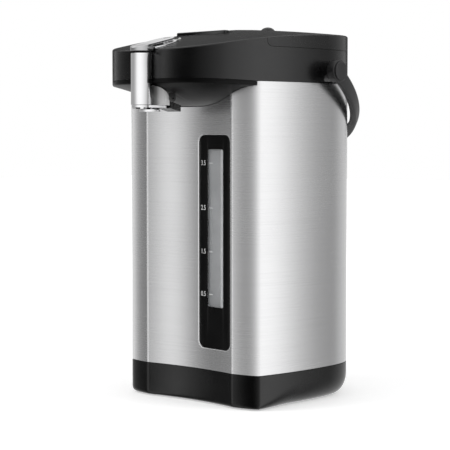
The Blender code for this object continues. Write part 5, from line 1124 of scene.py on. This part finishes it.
def make_head():
    head = head_form("head", made=HEAD_BLACK)
    deck = prism("deck", inset(HEAD, HEAD_WALL), SEAM_SIDE_Z - CUT_REACH, DECK_Z)
    nose = head_form("nose", HEAD_WALL + GAP, SEAM_SIDE_Z - CUT_REACH)
    limit = box("limit", (-DEPTH, NOSE_LIMIT_Y, 0), (DEPTH, LID_FRONT_Y - HEAD_WALL, ROOM_TOP_Z))
    boolean(nose, "INTERSECT", limit)
    room = prism("room", lid_profile(0), -DEPTH, DEPTH, "YZ")
    recess = prism("recess", clipped(inset(HEAD, HEAD_WALL + GAP / 3), LID_FRONT_Y + HEAD_WALL),
                   DECK_Z + DECK_WALL, LID_SEAM_Z + CUT_REACH)
    mouth = rod_z("mouth", MOUTH_RADIUS, VESSEL_Y, DECK_Z - CUT_REACH, DECK_Z + FAR_REACH, 128)
    cut(head, deck, nose, room, recess, mouth)
    for side in (-1, 1):
        boss = rod_x("boss", BOSS_RADIUS, side * BOSS_ROOT_X, side * BOSS_REACH_X, HANDLE_Y, HANDLE_Z)
        join(head, boss, *hinge_ear(side))
    cut(head, escutcheon("recess", GAP, -ESCUTCHEON_SUNK, CUT_REACH),
        box("slot", (-LEVER_SLOT_HALF, LEVER_PIVOT_Y - LEVER_SLOT_HALF_DEPTH, LEVER_SLOT_LOW_Z),
            (LEVER_SLOT_HALF, LEVER_PIVOT_Y + LEVER_SLOT_HALF_DEPTH, PANEL_CUT_TOP_Z)),
        rod_z("lens", LENS_HOLE_RADIUS, LENS_Y, LENS_HOLE_LOW_Z, PANEL_CUT_TOP_Z, 24))
    put(head, "housing", "black_plastic", "top_housing")
    turns = [math.pi / 2 * k / LAMP_STEPS for k in range(1, LAMP_STEPS + 1)]
    profile = [(0, LAMP_RISE)] + [(LAMP_RADIUS * math.sin(a), LAMP_RISE * math.cos(a)) for a in turns]
    profile += [(LAMP_RADIUS, -LAMP_FOOT), (0, -LAMP_FOOT)]
    lamp = turned("indicator_dome", profile, (0, 0), WHITE_PLASTIC, 32)
    seat = Matrix.Translation((0, LAMP_Y, centre_z(LAMP_Y)))
    put(lamp, "housing", "white_plastic", matrix=TO_WORLD @ seat)


def hinge_ear(side):
    """The head's ear and bracket for the lid's pin, on one side."""
    ear = rod_x("ear", HINGE_EAR_RADIUS, side * HINGE_EAR_INNER_X, side * HINGE_EAR_OUTER_X, HINGE_Y,
                LID_SEAM_Z, 32)
    ends = sorted((side * (HINGE_EAR_INNER_X + HINGE_BRACKET_INSET),
                   side * (HINGE_EAR_OUTER_X - HINGE_BRACKET_INSET)))
    root_y = back_y(HINGE_EAR_OUTER_X) - HEAD_WALL / 2
    bracket = box("bracket", (ends[0], root_y, LID_SEAM_Z - HINGE_BRACKET_DROP),
                  (ends[1], HINGE_Y, LID_SEAM_Z - GAP))
    return ear, bracket


def between(outline, position):
    """A point of an outline at a broken index, which may be negative."""
    low = math.floor(position)
    share = position - low
    a, b = outline[low], outline[low + 1 if low + 1 < len(outline) else 0]
    return (a[0] + share * (b[0] - a[0]), a[1] + share * (b[1] - a[1]))


def chin_section(index, z, head_in, tuck, tuck_in):
    """One section of the chin, from the head's rim to the steel's edge at a height."""
    position = index * (STEP_INDEX - SIDE_EXTRA) / CHIN_END
    head = Vector(between(HEAD, position))
    inside = between(head_in, position)
    foot = Vector(tuck[index])
    inward = foot - head
    length = max(inward.length, TINY)
    step = min(CHIN_ROUND, length / 3)
    top = seam_z(head.y) - GAP
    rim = seam_z(head.y) - CHIN_RIM
    low = head + inward * (step / length)
    mid = head + inward * (step / length * CHIN_ROUND_SHARE)
    return [(*head, top), (*head, rim + CHIN_ROUND), (*mid, rim + CHIN_ROUND * CHIN_DROP_SHARE),
            (*low, rim + (z - rim) * step / length), (*foot, z), (*tuck_in[index], z + CHIN_WALL),
            (*inside, rim + CHIN_WALL), (*inside, top)]


def make_chin():
    outlines = (inset(HEAD, CHIN_WALL), inset(BODY, CHIN_TUCK), inset(BODY, CHIN_TUCK + CHIN_WALL))
    edge = steel_edge(body_front_half()[:CHIN_END + 1])
    sections = [chin_section(i, edge[abs(i)], *outlines) for i in range(-CHIN_END, CHIN_END + 1)]
    chin = loft("chin", sections, PAINTED_CHIN_BLACK, angle=SOFT_DEG)
    for side in (-1, 1):
        ends = sorted((side * CUP_EAR_INNER_X, side * CUP_EAR_OUTER_X))
        ear = rod_x("ear", CUP_EAR_RADIUS, *ends, CUP_PIVOT_Y, CUP_PIVOT_Z, 32)
        web = box("web", (ends[0] + LAP, CUP_PIVOT_Y - CUP_EAR_RADIUS, CUP_PIVOT_Z),
                  (ends[1] - LAP, CUP_PIVOT_Y + CUP_EAR_RADIUS, CUP_WEB_TOP_Z))
        join(chin, ear, web)
    passage = rod_z("passage", PASSAGE_RADIUS, PIPE_Y, PASSAGE_LOW_Z, PASSAGE_HIGH_Z, 32)
    put(cut(chin, passage), "housing", "black_plastic", "chin_cover")


# Spout and levers

def make_spout_column():
    column = rod_z("spout_column", COLUMN_RADIUS, COLUMN_Y, SPOUT_BOTTOM_Z, SPOUT_TOP_Z, COLUMN_SIDES, CHROME)
    cut(column, box("face", (-CUT_HALF, HEAD_FRONT_Y - GAP, SPOUT_BOTTOM_Z - FAR_REACH),
                    (CUT_HALF, 0, SPOUT_TOP_Z + FAR_REACH)))
    put(bevel(column, COLUMN_EDGE, 2), "housing", "chrome", "spout_cover")


def make_spout_housing():
    """The part of the spout behind its column, with a curved top and two fine joints on its right."""
    foot = SPOUT_BOTTOM_Z + HOUSING_FOOT
    profile = [(COLUMN_Y + HOUSING_LAP, SPOUT_BOTTOM_Z), (SPOUT_REAR_Y, SPOUT_BOTTOM_Z)]
    for i in range(HOUSING_STEPS + 1):
        angle = math.pi / 2 * i / HOUSING_STEPS
        profile.append((SPOUT_REAR_Y - HOUSING_LENGTH * (1 - math.cos(angle)),
                        foot + HOUSING_HEIGHT * math.sin(angle)))
    profile.append((COLUMN_Y + HOUSING_LAP, foot + HOUSING_HEIGHT))
    housing = prism("spout_housing", profile, -HOUSING_HALF, HOUSING_HALF, "YZ", PAINTED_SATIN)
    for setback in HOUSING_JOINTS:
        y = SPOUT_REAR_Y - setback
        cut(housing, box("joint", (HOUSING_HALF - JOINT_DEPTH, y - JOINT_HALF, SPOUT_BOTTOM_Z - FAR_REACH),
                         (CUT_HALF, y + JOINT_HALF, ROOM_TOP_Z)))
    put(bevel(housing, HOUSING_EDGE, 3), "housing", "chrome", "spout_cover")


def make_spout():
    make_spout_column()
    make_spout_housing()
    top = SPOUT_BOTTOM_Z - GAP
    plan = slot_outline(COLUMN_RADIUS - RING_INSET, COLUMN_Y - COLUMN_RADIUS + RING_INSET,
                        SPOUT_REAR_Y - RING_INSET, SPOUT_REAR_CORNER - RING_INSET)
    rings = [at_height(inset(plan, RING_CHAMFER), top - RING_HEIGHT),
             at_height(plan, top - RING_HEIGHT + RING_CHAMFER), at_height(plan, top)]
    ring = loft("spout_ring", rings, CHROME)
    cut(ring, rod_z("hole", RING_BORE, PIPE_Y, top - FAR_REACH, top + FAR_REACH, 32))
    put(ring, "housing", "chrome", "spout_base_ring")
    top = SPOUT_BOTTOM_Z - GAP - RING_HEIGHT - GAP
    flange = rod_z("nozzle_ring", NOZZLE_RADIUS, NOZZLE_Y, top - NOZZLE_HEIGHT, top, made=CHROME)
    join(flange, rod_z("collar", COLLAR_RADIUS, PIPE_Y, top - COLLAR_LAP, top + COLLAR_RISE, 32))
    cut(flange, rod_z("bore", NOZZLE_BORE, PIPE_Y, top - FAR_REACH, top + CUT_HALF, 32))
    put(bevel(flange, NOZZLE_EDGE, 2), "housing", "chrome", "nozzle")


def make_lever():
    plan = slot_outline(CAP_HALF_WIDTH, CAP_FRONT_Y, CAP_REAR_Y, CAP_HALF_WIDTH - TINY)
    lever = prism("press_lever", plan, CAP_BOTTOM_Z, CAP_BACK_Z + CUT_REACH, "XY", PAINTED_CAP_CHROME)
    under = CAP_BOTTOM_Z - CAP_SKIRT_REACH
    web = CAP_BACK_Z - CAP_REAR_THICKNESS
    side = [(CAP_FRONT_Y - CUT_REACH, under), (CAP_SKIRT_REAR_Y, under), (CAP_SKIRT_REAR_Y, CAP_STEP_Z),
            (CAP_REAR_Y + CUT_REACH, web), (CAP_REAR_Y + CUT_REACH, CAP_BACK_Z), (CAP_REAR_Y, CAP_BACK_Z),
            (CAP_BROW_Y, CAP_BROW_Z), (CAP_FRONT_Y, CAP_NOSE_Z), (CAP_FRONT_Y - CUT_REACH, CAP_NOSE_Z)]
    boolean(lever, "INTERSECT", prism("side", side, -CUT_HALF, CUT_HALF, "YZ"))
    bevel(lever, CAP_EDGE, 3)
    pivot = (LEVER_PIVOT_Y, LEVER_PIVOT_Z)
    join(lever, box("lug", (-LUG_HALF_WIDTH, LEVER_PIVOT_Y - LUG_HALF_DEPTH, LEVER_PIVOT_Z),
                    (LUG_HALF_WIDTH, LEVER_PIVOT_Y + LUG_HALF_DEPTH, web + LAP)),
         rod_x("barrel", LUG_HALF_DEPTH, LAP - LUG_HALF_WIDTH, LUG_HALF_WIDTH - LAP, *pivot, 32))
    cut(lever, rod_x("bore", LEVER_BORE, -CAP_HALF_WIDTH, CAP_HALF_WIDTH, *pivot, 24))
    put(lever, "press_lever", "chrome", "dispense_lever")
    low = GAP - ESCUTCHEON_SUNK
    border = escutcheon("lever_border", 0, low, ESCUTCHEON_THICKNESS + low, CHROME)
    cut(border, escutcheon("opening", -ESCUTCHEON_BORDER, -CUT_REACH, CUT_REACH))
    put(bevel(border, ESCUTCHEON_EDGE, 3), "housing", "chrome", "lever_escutcheon")


# Lid

def make_lid():
    cover = head_form("lid_shell", made=LID_BLACK)
    boolean(cover, "INTERSECT", prism("limit", lid_profile(GAP), -DEPTH, DEPTH, "YZ"))
    room = head_form("space", LID_WALL, SEAM_SIDE_Z)
    keep = box("keep", (-DEPTH, LID_FRONT_Y + GAP + LID_WALL, 0), (DEPTH, DEPTH * 2, ROOM_TOP_Z))
    boolean(room, "INTERSECT", keep)
    slot = box("slot", (-LATCH_HALF - GAP, LID_FRONT_Y - CUT_REACH, LATCH_BOTTOM_Z - GAP),
               (LATCH_HALF + GAP, LATCH_REAR_Y + LATCH_TRAVEL + GAP, LATCH_SLOT_TOP_Z))
    vent = rod_z("vent", VENT_HOLE_RADIUS, VENT_Y, LID_SEAM_Z, VENT_TOP_Z, 48)
    cut(cover, room, slot, vent)
    web = box("web", (-HINGE_WEB_HALF, back_y(HINGE_BARREL_HALF) - LID_WALL / 2, HINGE_WEB_LOW_Z),
              (HINGE_WEB_HALF, HINGE_Y, HINGE_WEB_HIGH_Z))
    barrel = rod_x("barrel", HINGE_BARREL_RADIUS, -HINGE_BARREL_HALF, HINGE_BARREL_HALF, HINGE_Y,
                   LID_SEAM_Z, 48)
    join(cover, web, barrel)
    cut(cover, rod_x("bore", HINGE_BORE, -HINGE_BORE_HALF, HINGE_BORE_HALF, HINGE_Y, LID_SEAM_Z, 24))
    put(cover, "lid", "black_plastic", "lid_cover")
    make_vent_cap()
    make_latch()


def make_vent_cap():
    dome = VENT_TOP_Z - VENT_SEAT_Z
    angles = [math.pi / 2 * i / VENT_STEPS for i in range(VENT_STEPS + 1)]
    profile = [(VENT_RADIUS * math.sin(a), VENT_SEAT_Z + dome * math.cos(a)) for a in angles]
    rim = VENT_SEAT_Z - VENT_RIM
    profile += [(VENT_RADIUS, rim), (VENT_STEM_RADIUS, rim), (VENT_STEM_RADIUS, VENT_STEM_LOW_Z),
                (VENT_STEM_BORE, VENT_STEM_LOW_Z), (VENT_STEM_BORE, VENT_SEAT_Z), (0, VENT_SEAT_Z)]
    put(turned("vent_cap", profile, (0, VENT_Y), GLOSS_BLACK, 64), "lid", "gloss_black", "steam_vent_cap")


def make_latch():
    latch = box("latch_bar", (-LATCH_HALF, LATCH_FRONT_Y, LATCH_BOTTOM_Z),
                (LATCH_HALF, LATCH_REAR_Y, LATCH_TOP_Z), GLOSS_BLACK)
    bevel(latch, LATCH_EDGE, 4)
    half = LATCH_HALF + LATCH_FLANGE_SIDE
    join(latch, box("flange", (-half, LATCH_FRONT_Y + LATCH_FLANGE_FRONT, LATCH_BOTTOM_Z - LATCH_FLANGE_DROP),
                    (half, LATCH_REAR_Y + LATCH_FLANGE_REAR, LATCH_BOTTOM_Z + LATCH_FLANGE_TOP)))
    put(latch, "latch", "gloss_black", "lid_latch")


# Handle

def bail_section(angle):
    """A rounded section of the bail, at an angle along its bow."""
    middle = Vector((BAIL_HALF_WIDTH * math.cos(angle), BAIL_REACH * math.sin(angle), 0))
    along = Vector((-BAIL_HALF_WIDTH * math.sin(angle), BAIL_REACH * math.cos(angle), 0)).normalized()
    out = Vector((along.y, -along.x, 0))
    blend = smoothstep(math.sin(angle))
    thick = (BAIL_THICKNESS_ARM + (BAIL_THICKNESS_GRIP - BAIL_THICKNESS_ARM) * blend) / 2
    deep = (BAIL_DEPTH_ARM + (BAIL_DEPTH_GRIP - BAIL_DEPTH_ARM) * blend) / 2
    ring = []
    for k in range(BAIL_SIDES):
        turn = 2 * math.pi * k / BAIL_SIDES
        c, s = math.cos(turn), math.sin(turn)
        a = thick * math.copysign(abs(c) ** BAIL_ROUND_POWER, c)
        b = deep * math.copysign(abs(s) ** BAIL_ROUND_POWER, s)
        ring.append(tuple(middle + out * a + Vector((0, 0, b))))
    return ring


def make_handle():
    sections = [bail_section(math.pi * i / BAIL_STEPS) for i in range(BAIL_STEPS + 1)]
    bail = loft("handle", sections, HANDLE_BLACK, angle=SOFTEST_DEG)
    for side in (-1, 1):
        disc = rod_x("disc", ARM_RADIUS, side * ARM_INNER_X, side * ARM_OUTER_X, 0, 0)
        bevel(disc, ARM_EDGE, 3)
        join(bail, disc)
        cut(bail, rod_x("bore", ARM_BORE, side * ARM_BORE_INNER_X, side * ARM_BORE_OUTER_X, 0, 0, 32))
    put(bail, "handle", "black_plastic", "handle_bail", matrix=TO_HANDLE)
    for side, word in ((-1, "left"), (1, "right")):
        start = ARM_OUTER_X + GAP
        cap = rod_x("handle_disc_" + word, ARM_CAP_RADIUS, side * start, side * (start + ARM_CAP_THICKNESS),
                    0, 0, made=HANDLE_BLACK)
        put(bevel(cap, ARM_CAP_EDGE, 3), "handle", "gloss_black", "handle_cap_" + word, matrix=TO_HANDLE)


# Solids that keep their shape get the same materials
SOLIDS_BY_MATERIAL = (
    (BASE_BLACK, ("bottom_cover", "cup_lever", "power_inlet")),
    (INNER_BLACK, ("lid_inner",)),
    (STEEL, ("steel_shell",)),
    (VESSEL_STEEL, ("inner_vessel",)),
    (SEAL_RUBBER, ("vessel_seal", "lid_gasket", "suction_pipe", "spout_pipe")),
    (FOAM, ("insulation_sleeve",)),
    (SMALL_STEEL, ("heater_plate", "thermostat", "pump_motor", "lid_hinge_pin", "lever_pin", "cup_lever_pin",
                   "handle_pin_left", "handle_pin_right", "base_screw_1", "base_screw_2", "base_screw_3",
                   "base_screw_4")),
    (WHITE_PLASTIC, ("pump_housing", "pump_impeller", "indicator_lens")),
    (BRASS, ("inlet_pin_1", "inlet_pin_2")),
    (BOARD, ("power_board", "control_board")),
    (CLEAR, ("sight_tube",)),
    (RUBBER, ("foot_1", "foot_2", "foot_3", "foot_4")),
)


def dress_nodes():
    for made, names in SOLIDS_BY_MATERIAL:
        for name in names:
            for slot in frame["nodes"][name].material_slots:
                slot.material = made


# Stage

def light(name, place, target, size, power):
    data = bpy.data.lights.new(name, "AREA")
    data.shape = "RECTANGLE"
    data.size, data.size_y = size
    data.energy = power
    item = bpy.data.objects.new(name, data)
    bpy.context.scene.collection.objects.link(item)
    item.location = place
    item.rotation_euler = (Vector(place) - Vector(target)).to_track_quat("Z", "Y").to_euler()
    item.visible_glossy = False
    return item


# What the shiny surfaces mirror, by compass angle from +X, counterclockwise
SURROUND = ((-180, 0.55), (-155, 0.20), (-148, 0.08), (-138, 0.04), (-134, 0.30), (-130, 0.85), (-126, 1.35),
            (-122, 1.35), (-118, 0.32), (-114, 0.12), (-108, 0.03), (-92, 0.0), (-84, 0.05), (-64, 0.25),
            (-50, 0.37), (-25, 0.65), (-14, 0.92), (-3, 1.08), (7, 1.20), (17, 1.36), (25, 1.58), (31, 1.22),
            (36, 0.86), (41, 0.56), (47, 0.28), (54, 0.24), (62, 0.50), (70, 0.65), (80, 0.74), (96, 0.82),
            (140, 1.0))
# More light for the steel alone
STEEL_FILL = ((-180, 0.5), (-165, 0.55), (-152, 0.20), (-138, 0.18), (-132, 0.0), (-121, 0.0), (-117, 0.30),
              (-110, 0.38), (-102, 0.45), (-95, 0.55), (-87, 0.68), (-76, 0.76), (-60, 0.83), (-41, 0.80),
              (-25, 0.62), (-7, 0.35), (10, 0.14), (22, 0.0), (36, 0.05), (46, 0.20), (52, 0.18), (60, 0.0))
# What the chrome mirrors in place of the first ring
CHROME_FILL = ((-180, 0.37), (-134, 0.38), (-120, 0.50), (-106, 0.70), (-95, 0.95), (-82, 1.08), (-59, 1.11),
               (-37, 1.02), (-14, 0.84), (0, 0.72), (10, 0.62), (22, 0.50), (30, 0.20), (38, 0.06),
               (74, 0.02),
               (100, 0.10), (132, 0.60), (165, 0.40))
SURROUND_TOP = 2.0
SURROUND_SIDES = 72
# Radius and height of each row of a ring
SURROUND_RADII = ((0.3, -1.3), (2.0, -1.3), (2.0, 1.5))
STEEL_FILL_RADII = ((1.9, -1.2), (1.9, 1.5))
CHROME_FILL_RADII = ((1.2, -1.2), (1.2, 1.4))
# Azimuth, distance, width, low and high edge, level
BACK_PANEL = (132, 1.5, 2.8, 0.29, 1.6, 0.13)

LIGHT_TARGET = (0, 0, 0.15)
KEY_PLACE = (-1.2, -1.6, 1.9)
KEY_SIZE = (1.2, 1.2)
KEY_POWER = 22
FILL_PLACE = (1.6, 0.6, 1.3)
FILL_SIZE = (0.7, 1.4)
FILL_POWER = 12
FLOOR_COLOUR = (0.86, 0.86, 0.86, 1)
FLOOR_ROUGHNESS = 0.6
FLOOR_SPECULAR = 0.2
FLOOR_GLOW = 0.42
FLOOR_GLOW_START = 0.35
FLOOR_GLOW_END = 1.2
FLOOR_HALF = 6.0
WORLD_LIGHT = 0.55


def ring_paint(name, stops, see_through):
    """A glow whose level follows the compass angle. A see-through ring adds to what lies behind it."""
    made, tree, shader = material(name + "_paint")
    tree.nodes.remove(shader)
    source = tree.nodes.new("ShaderNodeTexCoord")
    turn = node(tree, "ShaderNodeTexGradient", gradient_type="RADIAL")
    tree.links.new(source.outputs["Object"], turn.inputs["Vector"])
    shades = tree.nodes.new("ShaderNodeValToRGB")
    ramp_marks(shades, [((angle + 180) / 360, level / SURROUND_TOP) for angle, level in stops])
    tree.links.new(turn.outputs["Fac"], shades.inputs["Fac"])
    glow = node(tree, "ShaderNodeEmission", Strength=SURROUND_TOP)
    tree.links.new(shades.outputs["Color"], glow.inputs["Color"])
    surface = glow.outputs[0]
    if see_through:
        both = node(tree, "ShaderNodeAddShader")
        clear = node(tree, "ShaderNodeBsdfTransparent")
        tree.links.new(glow.outputs[0], both.inputs[0])
        tree.links.new(clear.outputs[0], both.inputs[1])
        surface = both.outputs[0]
    tree.links.new(surface, tree.nodes["Material Output"].inputs["Surface"])
    return made


def surround(name, stops, radii, receivers=None, left_out=()):
    """A ring of light on floor and walls that only reflections see, of all pieces or of some."""
    bm = bmesh.new()
    rows = []
    for radius, height in radii:
        turns = [2 * math.pi * i / SURROUND_SIDES for i in range(SURROUND_SIDES)]
        rows.append([bm.verts.new((radius * math.cos(a), radius * math.sin(a), height)) for a in turns])
    for low, high in zip(rows, rows[1:]):
        for i in range(SURROUND_SIDES):
            j = (i + 1) % SURROUND_SIDES
            bm.faces.new((low[i], low[j], high[j], high[i]))
    item = finish_mesh(name, bm, ring_paint(name, stops, receivers is not None))
    only_reflected(item)
    group = bpy.data.collections.new(name + "_receivers")
    for piece in bpy.data.objects:
        if piece.type != "MESH" or piece == item:
            continue
        worn = {m.name for m in piece.data.materials if m}
        if (receivers & worn) if receivers else not (set(left_out) & worn):
            group.objects.link(piece)
    item.light_linking.receiver_collection = group


def only_reflected(item):
    item.visible_camera = False
    item.visible_diffuse = False
    item.visible_shadow = False
    item.visible_transmission = False


def dark_panel(name, azimuth, distance, width, low, high, level):
    """A dark panel that only reflections see."""
    made, tree, shader = material(name + "_paint")
    tree.nodes.remove(shader)
    glow = node(tree, "ShaderNodeEmission", Strength=1.0)
    glow.inputs["Color"].default_value = (level, level, level, 1)
    tree.links.new(glow.outputs[0], tree.nodes["Material Output"].inputs["Surface"])
    a = math.radians(azimuth)
    middle = Vector((math.cos(a), math.sin(a), 0)) * distance
    across = Vector((-math.sin(a), math.cos(a), 0)) * width / 2
    bm = bmesh.new()
    corners = [middle - across + Vector((0, 0, low)), middle + across + Vector((0, 0, low)),
               middle + across + Vector((0, 0, high)), middle - across + Vector((0, 0, high))]
    bm.faces.new([bm.verts.new(c) for c in corners])
    only_reflected(finish_mesh(name, bm, made))


def make_floor():
    """A pale floor that turns white away from the pot, as the camera sees it, and keeps the shadow."""
    made, tree, shader = material("floor_paint")
    shader.inputs["Base Color"].default_value = FLOOR_COLOUR
    shader.inputs["Roughness"].default_value = FLOOR_ROUGHNESS
    shader.inputs["Specular IOR Level"].default_value = FLOOR_SPECULAR
    path = node(tree, "ShaderNodeLightPath")
    glow = node(tree, "ShaderNodeEmission", Strength=1.0)
    seen = node(tree, "ShaderNodeMath", operation="MULTIPLY")
    place = tree.nodes.new("ShaderNodeTexCoord")
    reach = node(tree, "ShaderNodeVectorMath", operation="LENGTH")
    tree.links.new(place.outputs["Object"], reach.inputs[0])
    level = ramp(tree, reach.outputs["Value"], FLOOR_GLOW, 1.0, FLOOR_GLOW_START, FLOOR_GLOW_END)
    tree.links.new(level, seen.inputs[1])
    tree.links.new(path.outputs["Is Camera Ray"], seen.inputs[0])
    tree.links.new(seen.outputs[0], glow.inputs["Strength"])
    both = node(tree, "ShaderNodeAddShader")
    tree.links.new(shader.outputs[0], both.inputs[0])
    tree.links.new(glow.outputs[0], both.inputs[1])
    tree.links.new(both.outputs[0], tree.nodes["Material Output"].inputs["Surface"])
    bm = bmesh.new()
    corners = ((-1, -1), (1, -1), (1, 1), (-1, 1))
    bm.faces.new([bm.verts.new((x * FLOOR_HALF, y * FLOOR_HALF, 0)) for x, y in corners])
    floor = finish_mesh("floor", bm, made)
    floor.visible_glossy = False


def make_world():
    """White to the camera, to reflections and through glass, and dimmer as a light."""
    world = bpy.data.worlds.new("studio")
    bpy.context.scene.world = world
    world.use_nodes = True
    tree = world.node_tree
    path = node(tree, "ShaderNodeLightPath")
    seen = path.outputs["Is Camera Ray"]
    for other in ("Is Glossy Ray", "Is Transmission Ray"):
        either = node(tree, "ShaderNodeMath", operation="MAXIMUM")
        tree.links.new(seen, either.inputs[0])
        tree.links.new(path.outputs[other], either.inputs[1])
        seen = either.outputs[0]
    tree.links.new(ramp(tree, seen, WORLD_LIGHT, 1.0), tree.nodes["Background"].inputs["Strength"])
    tree.nodes["Background"].inputs["Color"].default_value = (1, 1, 1, 1)


def make_stage():
    make_floor()
    make_world()
    light("key", KEY_PLACE, LIGHT_TARGET, KEY_SIZE, KEY_POWER)
    light("fill", FILL_PLACE, LIGHT_TARGET, FILL_SIZE, FILL_POWER)
    chromes = {CHROME.name, PAINTED_CAP_CHROME.name}
    surround("surround", SURROUND, SURROUND_RADII, left_out=chromes)
    surround("steel_fill", STEEL_FILL, STEEL_FILL_RADII, {STEEL.name})
    surround("chrome_fill", CHROME_FILL, CHROME_FILL_RADII, chromes)
    dark_panel("back_panel", *BACK_PANEL)


def make_camera():
    data = bpy.data.cameras.new("camera")
    data.sensor_width = SENSOR_WIDTH
    data.lens = CAMERA_LENS
    item = bpy.data.objects.new("camera", data)
    bpy.context.scene.collection.objects.link(item)
    item.location = CAMERA_PLACE
    item.rotation_euler = (math.radians(CAMERA_TILT_DEG), 0, math.radians(CAMERA_TURN_DEG))
    bpy.context.scene.camera = item


make_camera()
make_base()
make_steel()
make_gauge()
make_head()
make_chin()
make_spout()
make_lever()
make_lid()
make_handle()
dress_nodes()
make_stage()
bpy.context.scene.view_settings.view_transform = "Standard"
